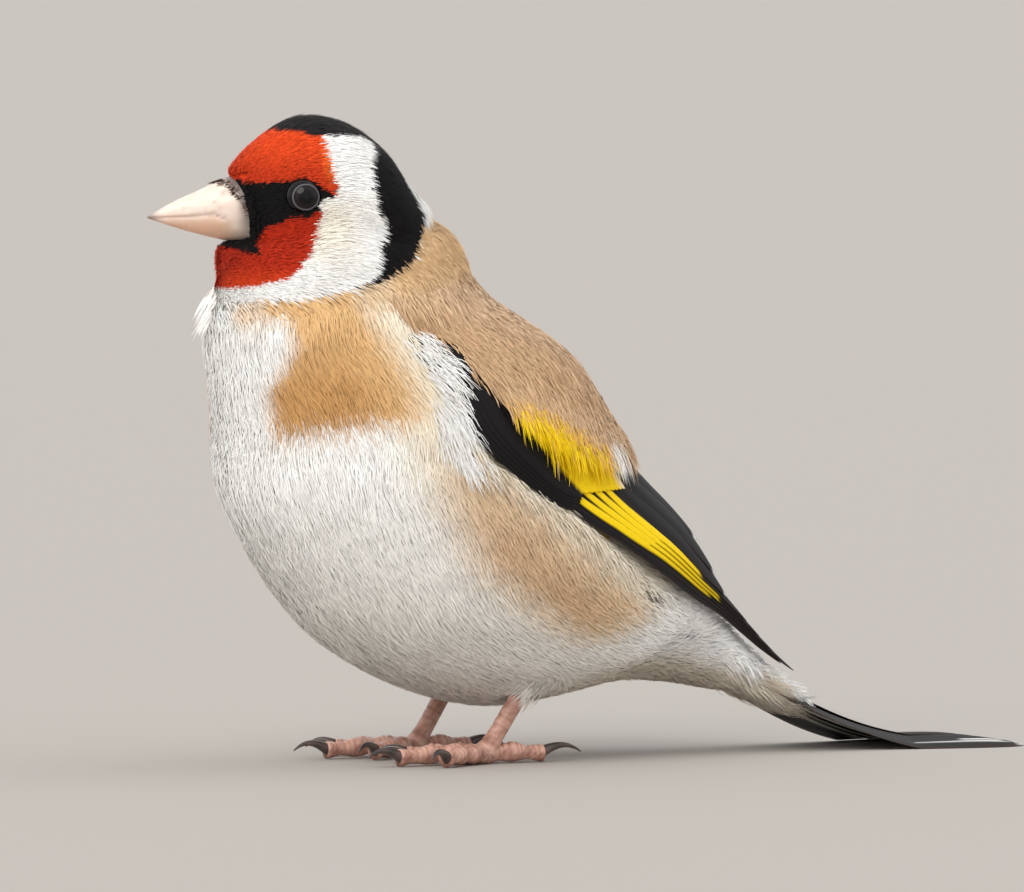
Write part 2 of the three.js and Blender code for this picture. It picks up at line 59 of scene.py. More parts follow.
TAIL_LENGTH = 44
SIDES = ((1, "left"), (-1, "right"))
PHOTO_SIZE = (1024, 892)
PHOTO_SCALE = 8.8  # pixels for a millimetre
CAMERA_ANGLE = 60  # degrees round from the front, towards the bird's left
CAMERA_HEIGHT = 2.5  # degrees above the horizon
MM = 0.001

# Cross-sections of the body: centre y, centre z, half depth, tilt, half width
BODY = np.array(
    [
        (-17.6, 61.5, 10.6, 16, 9.4),
        (-14.8, 56.4, 15.2, 12, 11.9),
        (-13.7, 51.5, 16.7, 8, 14.3),
        (-8.5, 43.8, 21.1, 8, 17.4),
        (-5.0, 34.1, 22.9, 12, 19.2),
        (3.1, 22.5, 21.25, 22, 19.0),
        (15.1, 14.9, 16.2, 31, 15.2),
        (27.3, 13.0, 7.7, 34, 9.6),
        (37.6, 9.1, 3.5, 39, 5.8),
        (46.0, 5.4, 1.7, 48, 3.4),
    ]
)
BODY_START = -1.0  # u of the first cross-section; they are one apart

# Cross-sections of the head: forward, top, bottom, half width
SKULL = np.array(
    [
        (-12.8, -1.5, -4.5, 1.5),
        (-11.8, 0.9, -7.5, 4.6),
        (-9.9, 2.9, -10.0, 7.0),
        (-6.7, 6.9, -11.6, 9.0),
        (-3.0, 9.4, -12.2, 9.8),
        (0.5, 10.35, -12.4, 9.9),
        (3.5, 10.15, -12.2, 9.4),
        (6.0, 9.0, -11.8, 8.2),
        (8.5, 7.2, -11.2, 6.4),
        (10.3, 5.4, -10.4, 5.0),
        (11.6, 3.2, -9.6, 3.4),
        (12.5, -1.0, -8.6, 1.6),
    ]
)

# Cross-sections of the bill: forward, top, bottom, half width
BILL = np.array(
    [
        (6.5, 3.9, -4.3, 3.9),
        (9.0, 3.7, -4.15, 3.5),
        (11.5, 2.95, -3.8, 2.75),
        (14.0, 1.75, -3.2, 1.95),
        (16.6, 0.6, -2.45, 1.2),
        (18.7, -0.55, -1.75, 0.5),
        (19.8, -1.13, -1.37, 0.12),
    ]
)


# Colours
def tint(red, green, blue):
    """A colour given as it looks on screen, 0 to 255, as a linear one."""
    c = np.array([red, green, blue]) / 255
    return np.where(c <= 0.04045, c / 12.92, ((c + 0.055) / 1.055) ** 2.4)


WHITE = tint(252, 250, 246)
CREAM = tint(246, 233, 208)
BELLY = tint(243, 240, 233)
VENT = tint(232, 222, 206)
BUFF = tint(232, 190, 134)
BUFF_DARK = tint(196, 144, 86)
FLANK = tint(226, 192, 146)
BACK = tint(228, 196, 160)
BACK_DARK = tint(203, 164, 122)
NAPE = tint(226, 189, 142)
RED = tint(240, 82, 32)
# The face's red in painted shade, for its lower parts
RED_IN_SHADE = tint(186, 42, 20)
ORANGE = tint(244, 128, 40)
BLACK = tint(20, 18, 18)
BRISTLE = tint(64, 40, 32)
# A lighter black for a painted sheen on the top of the crown
CROWN_SHEEN = tint(46, 43, 43)
YELLOW = tint(252, 214, 16)
YELLOW_WARM = tint(248, 188, 48)
VANE_BLACK = tint(26, 23, 24)
VANE_BROWN = tint(74, 62, 56)
TAIL_PALE = tint(196, 191, 180)


# Small helpers
def smooth(x, low, high):
    """0 below low, 1 above high and a smooth step between; high may be below low."""
    t = np.clip((x - low) / (high - low), 0, 1)
    return t * t * (3 - 2 * t)


def mix(a, b, share):
    """a where share is 0 and b where it is 1."""
    return a * (1 - share) + b * share


def blend(a, b, share):
    """One colour into another, by a share or a list of them."""
    share = np.asarray(share, float)[..., None]
    return a * (1 - share) + b * share


def unit(v):
    """Each row made one long."""
    return v / np.maximum(np.linalg.norm(v, axis=-1, keepdims=True), 1e-9)


def dot(a, b):
    """The dot product of each row with the same row of another array."""
    return np.einsum("ij,ij->i", a, b)


def laid_flat(directions, normals):
    """Directions turned to lie along a surface."""
    return unit(directions - dot(directions, normals)[:, None] * normals)


def through(table, t):
    """Rows of a table followed along a smooth curve, at t rows from its start."""
    t = np.asarray(t, float)
    last = len(table) - 1
    i = np.clip(np.floor(t).astype(int), 0, last - 1)
    f = (t - i)[..., None]
    padded = np.vstack([2 * table[0] - table[1], table, 2 * table[-1] - table[-2]])
    before, here, there, after = (padded[i + k] for k in range(4))
    slope_in = (there - before) / 2
    slope_out = (after - here) / 2
    return (
        here * (2 * f**3 - 3 * f**2 + 1)
        + there * (3 * f**2 - 2 * f**3)
        + slope_in * (f**3 - 2 * f**2 + f)
        + slope_out * (f**3 - f**2)
    )


def along(pairs, t):
    """Straight lines between (t, value) pairs."""
    places, values = zip(*pairs)
    return np.interp(t, places, values)


# The surfaces that everything lies on
def body_point(u, angle, height=0.0):
    """u along the body, angle round it in degrees from the back towards its left side."""
    u, angle, height = np.broadcast_arrays(u, angle, height)
    y, z, depth, tilt, width = np.moveaxis(through(BODY, u - BODY_START), -1, 0)
    a, tilt = np.radians(angle), np.radians(tilt)
    out = (depth + height) * np.cos(a)
    return np.stack(
        [(width + height) * np.sin(a), y + out * np.cos(tilt), z + out * np.sin(tilt)], -1
    )


def body_normal(u, angle):
    """The direction that the body faces at each place."""
    du = body_point(u + 0.04, angle) - body_point(u - 0.04, angle)
    da = body_point(u, angle + 1.5) - body_point(u, angle - 1.5)
    return unit(np.cross(da, du))


def body_place(points):
    """The (u, angle) that each point lies at."""
    if len(points) > 40000:
        halves = [body_place(part) for part in np.array_split(points, 2)]
        return tuple(np.concatenate(pair) for pair in zip(*halves))
    us = np.arange(-0.95, 8.4, 0.1)
    y, z, _, tilt, _ = through(BODY, us - BODY_START).T
    tilt = np.radians(tilt)
    beyond = np.outer(points[:, 1], np.sin(tilt)) - np.outer(points[:, 2], np.cos(tilt))
    beyond += z * np.cos(tilt) - y * np.sin(tilt)
    k = np.clip((beyond > 0).sum(1) - 1, 0, len(us) - 2)
    rows = np.arange(len(points))
    first, second = beyond[rows, k], beyond[rows, k + 1]
    share = np.clip(first / np.where(np.abs(first - second) < 1e-6, 1, first - second), 0, 1)
    u = us[k] + 0.1 * share
    y, z, depth, tilt, width = through(BODY, u - BODY_START).T
    tilt = np.radians(tilt)
    out = (points[:, 1] - y) * np.cos(tilt) + (points[:, 2] - z) * np.sin(tilt)
    return u, np.degrees(np.arctan2(points[:, 0] / width, out / depth))


FORWARD = np.array([-sin(radians(HEAD_TURN)), -cos(radians(HEAD_TURN)), 0])
LEFT = np.array([cos(radians(HEAD_TURN)), -sin(radians(HEAD_TURN)), 0])
UP = np.array([0.0, 0.0, 1.0])


def from_head(forward, side, up):
    """A point given as forward of, left of and above the head's centre."""
    parts = np.broadcast_arrays(forward, side, up)
    return HEAD_CENTRE + sum(part[..., None] * axis for part, axis in zip(parts, (FORWARD, LEFT, UP)))


def to_head(points):
    """How far points lie forward of, left of and above the head's centre."""
    relative = points - HEAD_CENTRE
    return relative @ FORWARD, relative @ LEFT, relative @ UP


def bill_point(row, a):
    """row rows along the bill, a radians round it from its top towards the left side."""
    forward, top, bottom, half = np.moveaxis(through(BILL, row), -1, 0)
    return from_head(forward, half * np.sin(a), (top + bottom) / 2 + (top - bottom) / 2 * np.cos(a))


def skull_point(t, angle, inset=0.0):
    """t rows along the head, angle round it in degrees from its top towards its left."""
    forward, top, bottom, half = np.moveaxis(through(SKULL, t), -1, 0)
    a = np.radians(angle)
    reach = forward - inset * (2 * t / (len(SKULL) - 1) - 1)
    high = (top - bottom) / 2 - inset
    return from_head(reach, (half - inset) * np.sin(a), (top + bottom) / 2 + high * np.cos(a))


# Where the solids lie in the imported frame: the same eye, in both
eye_low, eye_high = (np.array(corner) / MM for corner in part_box("eye_left"))
SHIFT = (eye_low + eye_high) / 2 - from_head(*EYE_PLACE)
SHIFT[0] = 0
SHIFT[2] = 0

# Edges over the body, as (u, angle): the mantle's solid, the wing's lower side, the cape and its bar
MANTLE_EDGE = [(0.85, 88), (1.4, 87), (2.3, 81), (2.8, 73), (3.2, 58), (3.6, 36), (3.9, 20)]
WING_LOW_EDGE = [
    (1.35, 88), (1.7, 90), (2.1, 92), (2.55, 93), (2.9, 90), (3.15, 84), (3.4, 78), (3.7, 71),
    (4.1, 66), (4.6, 63), (5.2, 60), (6.5, 58),
]
WING_TOP_EDGE = [(3.9, 14), (5.0, 24), (6.5, 36)]
CAPE_EDGE = [
    (0.9, 86), (1.35, 84), (1.55, 82), (1.9, 82), (2.25, 79), (2.5, 75.5), (2.65, 73), (2.95, 71),
    (3.25, 68), (3.45, 66), (3.7, 64),
]
BAR_EDGE = [(2.55, 76), (2.8, 67), (3.1, 60), (3.3, 55), (3.5, 51), (3.7, 50)]


def wing_height(u):
    """How high the wing's vanes lie over the body."""
    return mix(-0.85, 1.35, smooth(u, 3.0, 4.8))


def in_mantle(u, angle):
    """1 inside the brown cape and 0 outside it."""
    inside = smooth(along(MANTLE_EDGE, u) - np.abs(angle), -4, 4)
    return inside * smooth(u, 0.5, 0.9) * smooth(u, 3.95, 3.7)


def under_wing(u, angle):
    """1 where a wing lies over the body."""
    low = along(WING_LOW_EDGE, u)
    top = np.where(u < 3.9, along(MANTLE_EDGE, u), along(WING_TOP_EDGE, u))
    inside = smooth(low - np.abs(angle), 0, 4) * smooth(np.abs(angle) - top, -3, 3)
    return inside * smooth(u, 0.85, 1.1) * smooth(u, 6.8, 6.4)


BODY_COAT = 1.25  # how deep the plumage is over the skin
HEAD_COAT = 0.75


def skin_height(u, angle):
    """How far the skin lies over the body's cross-sections, or under them where it is negative."""
    cape = mix(0.35, 2.2, smooth(u, 1.3, 3.3)) - 1.1 - 2.4 * smooth(u, 3.2, 3.7)
    wing = mix(-2.9, -1.0, smooth(u, 3.0, 4.8))
    coat = mix(-BODY_COAT, -0.8, smooth(u, 5.6, 7.4))
    coat = mix(coat, -HEAD_COAT - 0.1, smooth(u, 0.5, -0.3))
    height = mix(coat, wing, under_wing(u, angle))
    return mix(height, cape, in_mantle(u, angle))


# Meshes
def make_mesh(name, points, faces, slot, material, colours, uvs=None):
    """A painted piece from points in millimetres and triangles, riding on the frame."""
    mesh = bpy.data.meshes.new(name)
    faces = np.ascontiguousarray(faces, dtype=np.int32)
    sides = faces.shape[1]
    mesh.vertices.add(len(points))
    mesh.vertices.foreach_set("co", ((points + SHIFT) * MM).astype(np.float32).ravel())
    mesh.loops.add(faces.size)
    mesh.loops.foreach_set("vertex_index", faces.ravel())
    mesh.polygons.add(len(faces))
    mesh.polygons.foreach_set("loop_start", np.arange(0, faces.size, sides, dtype=np.int32))
    mesh.polygons.foreach_set("use_smooth", np.full(len(faces), True))
    mesh.update(calc_edges=True)
    layer = mesh.color_attributes.new("Plumage", "FLOAT_COLOR", "POINT")
    rgba = np.column_stack([np.clip(colours, 0, 1), np.ones(len(points))])
    layer.data.foreach_set("color", rgba.astype(np.float32).ravel())
    if uvs is not None:
        layer = mesh.uv_layers.new(name="OFBake")
        layer.data.foreach_set("uv", uvs[faces.ravel()].astype(np.float32).ravel())
    piece = bpy.data.objects.new(name, mesh)
    bpy.context.scene.collection.objects.link(piece)
    piece.data.materials.append(material)
    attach(piece, "root")
    return piece


def grid_faces(rows, columns, wrap=False, start=0):
    """Quads of a grid of points; wrap joins the last column to the first."""
    r, c = np.meshgrid(np.arange(rows - 1), np.arange(columns if wrap else columns - 1), indexing="ij")
    a = r * columns + c
    b = r * columns + (c + 1) % columns
    return start + np.stack([a, b, b + columns, a + columns], -1).reshape(-1, 4)


def triangles(quads):
    """Two triangles for each quad."""
    return np.vstack([quads[:, [0, 1, 2]], quads[:, [0, 2, 3]]])


def closed_tube(grid):
    """Points and triangles of a tube of rings, closed at both ends by a point."""
    rows, columns = grid.shape[:2]
    points = np.vstack([grid.reshape(-1, 3), grid[0].mean(0), grid[-1].mean(0)])
    faces = triangles(grid_faces(rows, columns, wrap=True))
    ring = np.arange(columns)
    following = (ring + 1) % columns
    near = rows * columns
    last = (rows - 1) * columns
    caps = np.vstack(
        [
            np.column_stack([following, ring, np.full(columns, near)]),
            np.column_stack([last + ring, last + following, np.full(columns, near + 1)]),
        ]
    )
    return points, np.vstack([faces, caps])


def outward(points, faces):
    """The faces of a closed surface, turned to look out of it."""
    a, b, c = (points[faces[:, k]] for k in range(3))
    volume = dot(a, np.cross(b, c)).sum()
    return faces if volume > 0 else faces[:, ::-1]


def join(parts):
    """Several (points, faces) as one."""
    points, faces, start = [], [], 0
    for part_points, part_faces in parts:
        points.append(part_points)
        faces.append(part_faces + start)
        start += len(part_points)
    return np.vstack(points), np.vstack(faces)


# Materials
def surface(name, roughness, specular=0.5, coat=0.0, sheen=0.0, bump=None, subsurface=0.0):
    """A shader whose colour is the mesh's own painted one; bump is (scale, strength)."""
    material = bpy.data.materials.new(name)
    material.use_nodes = True
    nodes, links = material.node_tree.nodes, material.node_tree.links
    shader = nodes["Principled BSDF"]
    shader.inputs["Roughness"].default_value = roughness
    shader.inputs["Specular IOR Level"].default_value = specular
    shader.inputs["Coat Weight"].default_value = coat
    shader.inputs["Coat Roughness"].default_value = 0.12
    shader.inputs["Sheen Weight"].default_value = sheen
    shader.inputs["Sheen Roughness"].default_value = 0.5
    if subsurface:
        shader.inputs["Subsurface Weight"].default_value = subsurface
        shader.inputs["Subsurface Scale"].default_value = 0.0006
    paint = nodes.new("ShaderNodeVertexColor")
    paint.layer_name = "Plumage"
    grain = nodes.new("ShaderNodeTexNoise")
    grain.inputs["Scale"].default_value = bump[0] if bump else 900
    grain.inputs["Detail"].default_value = 3
    place = nodes.new("ShaderNodeTexCoord")
    links.new(place.outputs["Object"], grain.inputs["Vector"])
    ramp = nodes.new("ShaderNodeMapRange")
    ramp.inputs["To Min"].default_value = 0.86
    ramp.inputs["To Max"].default_value = 1.12
    links.new(grain.outputs["Fac"], ramp.inputs["Value"])
    shade = nodes.new("ShaderNodeVectorMath")
    shade.operation = "SCALE"
    links.new(paint.outputs["Color"], shade.inputs[0])
    links.new(ramp.outputs["Result"], shade.inputs["Scale"])
    links.new(shade.outputs["Vector"], shader.inputs["Base Color"])
    if bump:
        relief = nodes.new("ShaderNodeBump")
        relief.inputs["Strength"].default_value = bump[1]
        relief.inputs["Distance"].default_value = 0.0001
        links.new(grain.outputs["Fac"], relief.inputs["Height"])
        links.new(relief.outputs["Normal"], shader.inputs["Normal"])
    return material


PLUMAGE = surface("plumage", 0.75, specular=0.12, sheen=0.04)
SKIN = surface("down", 0.95, specular=0.1)
VANES = surface("vanes", 0.6, specular=0.12, bump=(2500, 0.25))
HORN = surface("horn", 0.36, specular=0.5, coat=0.15, bump=(700, 0.25), subsurface=0.25)
EYE = surface("eye", 0.1, specular=0.22)
LID = surface("lid", 0.55, specular=0.4, bump=(2500, 0.5))
LEG = surface("leg_scales", 0.42, specular=0.5, bump=(1800, 0.4), subsurface=0.15)
CLAW = surface("claw", 0.3, specular=0.5, coat=0.2, bump=(1500, 0.2))


# Edges of the head's markings, in millimetres from its centre: (up, forward) for the ones that stand
RED_BACK = [(1.3, -0.75), (2.3, -0.8), (3.9, -0.4), (6.0, 0.1), (7.7, 0.6), (9.0, 1.2)]
CHEEK_RED_BACK = [
    (-9.1, 11.5), (-8.6, 8.0), (-8.2, 6.0), (-7.5, 4.7), (-6.1, 3.2), (-4.3, 2.2), (-1.1, 1.2)
]
BAND_FRONT = [
    (-9.2, -2.6), (-8.0, -5.0), (-6.1, -5.8), (-4.8, -5.6), (-3.4, -6.5), (-2.0, -6.4), (-0.2, -5.3),
    (4.8, -5.0), (6.4, -5.8), (7.7, -5.2), (8.4, 0.6),
]
BAND_BACK = [
    (-9.4, -4.5), (-8.2, -7.7), (-6.8, -9.2), (-5.7, -10.2), (-3.9, -10.8), (-2.5, -11.1),
    (-1.0, -11.2), (0.3, -10.6), (1.7, -9.8), (3.1, -9.3),
]

# (forward, up) for the edges that lie along the head
LORE_TOP = [
    (-0.8, 1.35), (0.4, 2.0), (1.5, 2.7), (3.1, 3.4), (4.6, 3.0), (7.7, 2.7), (10.0, 3.0), (11.5, 3.4)
]
LORE_LOW = [
    (-0.8, 1.3), (0.85, 0.9), (1.3, -0.2), (2.5, -1.1), (4.3, -1.1), (5.7, -1.8), (7.2, -2.3), (8.4, -4.4)
]
CHIN_LOW = [(8, -5.4), (10.9, -4.7), (12.8, -4.2)]
RED_LOW = [(6, -8.5), (12, -9.2)]
CROWN_LOW = [(-9, 4.0), (-5.8, 7.1), (-5.3, 7.7), (0.6, 8.3), (3.0, 8.0)]
CROWN_FRONT = [(0, 6.2), (3, 5.2), (6, 1.4), (9, 0.4)]  # (side, forward)
CROWN_NECK = [(-10, 6.0), (-6.5, 4.4), (-5.3, 2.8), (-3, 3.8), (0, 5.6)]  # (forward, half its width)


def head_colours(points, ragged):
    """Face and crown, with painted shade on the lower red and a painted sheen on the crown's top; ragged is
    a small random shift of every edge.
    """
    forward, side, up = to_head(points)
    side = np.abs(side)
    forward = forward + ragged[:, 0]
    up = up + ragged[:, 1]
    colour = blend(WHITE, CREAM, 0.55 * smooth(forward, -5, 0) * smooth(up, 2, -1) * smooth(up, -8, -3))
    # Painted shade: the red above the lore darkens downwards from the top of the head
    red = blend(RED, RED_IN_SHADE, smooth(up, 7.5, 2.5) * 0.65)
    red = blend(red, ORANGE, 0.75 * smooth(forward, 1.1, -0.3) * smooth(up, 2.0, 4.5))
    upper_red = (forward > along(RED_BACK, up)) & (up > along(LORE_TOP, forward))
    colour[upper_red] = red[upper_red]
    cheek = (forward > along(CHEEK_RED_BACK, up)) & (up < along(LORE_LOW, forward)) & (up > -9.1)
    cheek |= (forward > 8.2) & (up < -4.5) & (up > along(RED_LOW, forward))
    # Painted shade: the cheek's red is mostly the shaded red, a little lighter towards its lower edge
    low_red = blend(RED_IN_SHADE, RED, smooth(up, -6, -9) * 0.55 + 0.1)
    colour[cheek] = low_red[cheek]
    lore = (up < along(LORE_TOP, forward)) & (up > along(LORE_LOW, forward)) & (forward > -0.8)
    chin = (forward > 8.0) & (forward < 12.4) & (up < -3.4) & (up > along(CHIN_LOW, forward))
    crown = (up > along(CROWN_LOW, forward)) | ((side < along(CROWN_NECK, forward)) & (up > 3.5))
    crown &= forward < along(CROWN_FRONT, side)
    band = (forward < along(BAND_FRONT, up)) & (forward > along(BAND_BACK, up)) & (up > -9.5)
    black = lore | chin | crown | band
    colour[black] = BLACK
    # Painted sheen: the top of the crown is painted lighter than the rest of the black
    colour[crown & (up > 6)] = blend(BLACK, CROWN_SHEEN, 0.8)
    return colour


# Edges of the body's markings: the collar's end as (angle, u), and the others as (u, angle)
COLLAR_EDGE = [
    (0, -0.9), (50, -0.4), (79, 0.1), (94, 0.33), (114, 0.4), (132, 0.5), (152, 0.25), (180, 0.3)
]
PATCH_FRONT = [(0.6, 152), (0.8, 141), (1.25, 138), (1.65, 147), (1.9, 156), (2.4, 157)]
FLANK_LOW = [(2.7, 106), (3.35, 111), (3.8, 113), (4.3, 109), (4.8, 107), (5.2, 96)]
FLANK_HIGH = [(2.7, 95), (3.25, 84), (3.65, 76), (4.2, 71), (4.8, 69), (5.2, 70)]
CAPE_PAST_EDGE = [(2.9, 8), (3.3, 3), (3.7, 1)]


def spot(u, angle, at, size, core):
    """1 in the core of a round spot, falling to 0 just past its rim."""
    distance = np.hypot((u - at[0]) / size[0], (angle - at[1]) / size[1])
    return smooth(distance, core[1], core[0])


def body_colours(u, angle, noise):
    """Body markings, with painted shade on the buff patch's rear and lower part; noise is a small random
    number for each point.
    """
    angle = np.abs(angle)
    front = along(PATCH_FRONT, u)
    patch = smooth(angle, front + 5, front - 7) * smooth(angle, 96, 112) * smooth(u, 2.62, 2.25)
    top_band = smooth(u, 1.2, 0.7) * smooth(angle, 174, 160)
    buff = np.maximum(patch, top_band * 0.6) * smooth(u + noise * 0.1, 0.05, 0.4)
    # Painted shade: the buff patch darkens towards its rear and lower part
    depth = smooth(u, 0.9, 2.1) * smooth(angle, 104, 128) * 0.8
    colour = blend(WHITE, BELLY, smooth(u, 2.8, 4.2))
    colour = blend(colour, CREAM, smooth(angle, 124, 104) * smooth(u, 3.6, 2.6) * 0.85)
    colour = blend(colour, blend(BUFF, BUFF_DARK, depth), np.clip(buff, 0, 1))
    low = along(FLANK_LOW, u)
    high = along(FLANK_HIGH, u)
    flank = smooth(angle, low + 9, low - 14) * smooth(angle, high - 7, high + 11)
    flank *= smooth(u, 2.6, 3.2) * smooth(u, 5.3, 4.8)
    streak = smooth(np.abs(angle - (low + high) / 2 - 5), 14, 2)
    streak *= smooth(u, 3.2, 3.8) * smooth(u, 5.0, 4.5)
    colour = blend(colour, blend(FLANK, BUFF_DARK, 0.1 + 0.45 * streak), flank * 0.85)
    pale = smooth(angle, high + 12, high - 1) * smooth(u, 2.4, 2.9) * smooth(u, 5.4, 4.6)
    colour = blend(colour, CREAM, pale * 0.7)
    vent = smooth(u, 5.0, 5.6)
    colour = blend(colour, blend(WHITE, VENT, smooth(angle, 95, 130)), vent)
    front_spot = spot(u, angle, (5.0, 70), (0.22, 4), (0.4, 1.1)) * (noise > 0.2)
    rear_spot = spot(u, angle, (5.9, 84), (0.2, 5), (0.5, 1.1)) * (noise > 0.4)
    colour = blend(colour, VANE_BROWN, np.maximum(front_spot, rear_spot) * 0.85)
    return cape_colours(colour, u, angle, noise)


def cape_colours(colour, u, angle, noise):
    """The nape and the brown cape, with the yellow bar at its rear edge, over the body's colours."""
    nape = smooth(angle, 92, 84) * smooth(u, -0.6, -0.3) * smooth(u, 1.6, 0.9)
    colour = blend(colour, NAPE, nape)
    edge = along(CAPE_EDGE, u) + along(CAPE_PAST_EDGE, u)
    cape = smooth(edge - angle + noise * 0.8, -1.5, 1.5) * smooth(u, 0.5, 0.9) * smooth(u, 4.1, 3.9)
    tone = 0.45 + 0.3 * np.sin(u * 2.3 + angle * 0.05) + 0.1 * noise
    brown = blend(BACK, BACK_DARK, np.clip(tone, 0, 1) * smooth(angle, 8, 50))
    colour = blend(colour, brown, cape)
    bar = along(BAR_EDGE, u)
    warm = smooth(angle, bar - 9, bar - 1) * smooth(u, 2.3, 2.7)
    colour = blend(colour, YELLOW_WARM, cape * warm * 0.65)
    gold = smooth(angle + noise, bar - 1.5, bar + 2.0) * smooth(u, 2.45, 2.7)
    colour = blend(colour, YELLOW, cape * gold)
    colour = blend(colour, WHITE, spot(u, angle, (3.5, 46), (0.3, 6.5), (0.5, 1.15)) * 0.9)
    rump = smooth(angle, 60, 40) * smooth(u, 3.9, 4.2)
    return blend(colour, blend(BACK, WHITE, smooth(u, 4.4, 5.2)), rump)


rng = np.random.default_rng(7)


def plumage_colours(points):
    """The markings at each point of the plumage, with their painted shade and sheen."""
    u, angle = body_place(points)
    ragged = rng.normal(0, 0.16, (len(points), 2))
    noise = rng.normal(0, 1, len(points))
    forward, _, up = to_head(points)
    body = body_colours(u + noise * 0.05, angle + noise * 1.2, noise)
    head = head_colours(points, ragged)
    on_head = (u + noise * 0.04 < along(COLLAR_EDGE, np.abs(angle))) | (up > 2.5)
    nape = (np.abs(angle) < 62) & (up < -2.6 + noise * 0.2)
    nape &= forward < along(BAND_BACK, up) + ragged[:, 0]
    colour = np.where((on_head & ~nape)[:, None], head, body)
    colour[nape & on_head] = NAPE
    return colour


# The skin
FACE_EDGE = [
    (-4.7, 13.0), (-4.4, 8.6), (-4.1, 8.3), (-1.0, 8.4), (0.4, 8.7), (2.3, 9.7), (3.3, 11.0), (4.2, 13.0)
]


def behind_bill(points, faces):
    """The face cut back to the edge that the bill grows from."""
    forward, side, up = to_head(points)
    return from_head(np.minimum(forward, along(FACE_EDGE, up)), side, up), faces


def make_skin():
    """Body, head and thighs inset by the depth of the plumage and fused into one surface."""
    us = np.linspace(-0.9, 8.0, 130)
    angles = np.linspace(0, 360, 145)[:-1]
    signed = np.where(angles > 180, angles - 360, angles)
    u, a = np.meshgrid(us, signed, indexing="ij")
    parts = [closed_tube(body_point(u, a, skin_height(u, a)))]
    t, a = np.meshgrid(np.linspace(0, len(SKULL) - 1, 60), np.linspace(0, 360, 73)[:-1], indexing="ij")
    parts.append(behind_bill(*closed_tube(skull_point(t, a, HEAD_COAT))))
    for side in (-1, 1):
        parts.append(closed_tube(thigh_rings(side)))
    points, faces = join([(p, outward(p, f)) for p, f in parts])
    mesh = bpy.data.meshes.new("skin_shape")
    mesh.from_pydata(points.tolist(), [], faces.tolist())
    shape = bpy.data.objects.new("skin_shape", mesh)
    bpy.context.scene.collection.objects.link(shape)
    remesh = shape.modifiers.new("fuse", "REMESH")
    remesh.mode = "VOXEL"
    remesh.voxel_size = 0.5
    soften = shape.modifiers.new("soften", "SMOOTH")
    soften.factor = 0.5
    soften.iterations = 8
    fused = shape.evaluated_get(bpy.context.evaluated_depsgraph_get()).to_mesh()
    points = np.zeros(len(fused.vertices) * 3)
    fused.vertices.foreach_get("co", points)
    points = points.reshape(-1, 3)
    fused.calc_loop_triangles()
    faces = np.zeros(len(fused.loop_triangles) * 3, dtype=np.int32)
    fused.loop_triangles.foreach_get("vertices", faces)
    faces = faces.reshape(-1, 3)
    bpy.data.objects.remove(shape)
    bpy.data.meshes.remove(mesh)
    return points, faces


def leg_line(side):
    """Where the lower leg starts and ends."""
    foot = np.array([side * FOOT_X, 0.2, 1.1])
    ankle = np.array([side * (FOOT_X + ANKLE[0]), ANKLE[1], ANKLE[2]])
    return foot, ankle


def rings_along(centres, directions, radii, sides):
    """Round rings across a path."""
    side = unit(np.cross(directions, UP))
    up = np.cross(side, directions)
    a = np.linspace(0, 2 * pi, sides + 1)[:-1]
    offsets = np.cos(a)[None, :, None] * side[:, None] + np.sin(a)[None, :, None] * up[:, None]
    return centres[:, None] + offsets * np.asarray(radii)[:, None, None]


def thigh_rings(side):
    """The feathered upper part of a leg, which widens into the body."""
    foot, ankle = leg_line(side)
    t = np.linspace(0.6, 1.2, 12)
    centres = foot + (ankle - foot) * t[:, None]
    directions = np.tile(unit(ankle - foot), (len(t), 1))
    return rings_along(centres, directions, mix(1.1, 4.8, smooth(t, 0.5, 1.2)), 20)


def flow(points, normals):
    """The lie of the plumage: back over the head, and down and back over the body."""
    u, angle = body_place(points)
    ahead = through(BODY, u + 0.1 - BODY_START)[:, :2] - through(BODY, u - 0.1 - BODY_START)[:, :2]
    body = unit(np.column_stack([np.zeros(len(points)), ahead]))
    cape = in_mantle(u, angle)
    body = unit(body + cape[:, None] * np.sign(angle)[:, None] * np.array([0.12, 0, 0]))
    forward, side, up = to_head(points)
    sweep = -FORWARD * np.ones((len(points), 1))
    sweep = sweep + UP * (-0.75 * smooth(forward, 1, -9) - 0.25 * smooth(up, -2, -9))[:, None]
    sweep = sweep + UP * (0.5 * smooth(up, 1, 6) * smooth(forward, 4, 11))[:, None]
    sweep = sweep + LEFT * (np.sign(side) * 0.35 * smooth(forward, 6, 11))[:, None]
    share = smooth(u, 0.7, -0.1)
    lie = body * (1 - share)[:, None] + unit(sweep) * share[:, None]
    for leg in (-1, 1):
        foot, ankle = leg_line(leg)
        axis = unit(foot - ankle)
        apart = points - ankle
        off = np.linalg.norm(apart - (apart @ axis)[:, None] * axis, axis=1)
        near = smooth(off, 4.6, 2.2) * smooth(points[:, 2], 14.5, 11.5)
        lie = lie * (1 - near)[:, None] + axis * near[:, None]
    lie = laid_flat(lie, normals)
    sway = 0.16 * waves(points, 0.55) * smooth(u, 0.0, 1.0) + 0.05 * waves(points, 1.6)
    return unit(lie + np.cross(lie, normals) * sway[:, None])


def waves(points, pace):
    """Smooth uneven swells from -1 to 1 over a surface."""
    x, y, z = (points * pace).T
    return (np.sin(x + 1.7 * np.sin(z * 0.8)) + np.sin(1.3 * z + 1.3 * np.sin(y)) + np.sin(y * 1.1 - z)) / 3


def sample(points, faces, density, count):
    """Evenly spread places on a surface, with their normals; density is per face."""
    a, b, c = (points[faces[:, k]] for k in range(3))
    normal = np.cross(b - a, c - a)
    area = np.linalg.norm(normal, axis=1) / 2
    weight = np.cumsum(area * density)
    picks = (np.arange(count) + rng.random(count)) / count * weight[-1]
    face = np.searchsorted(weight, picks)
    r, s = rng.random((2, count, 1))
    root = np.sqrt(r)
    place = a[face] * (1 - root) + b[face] * root * (1 - s) + c[face] * root * s
    return place, unit(normal[face])


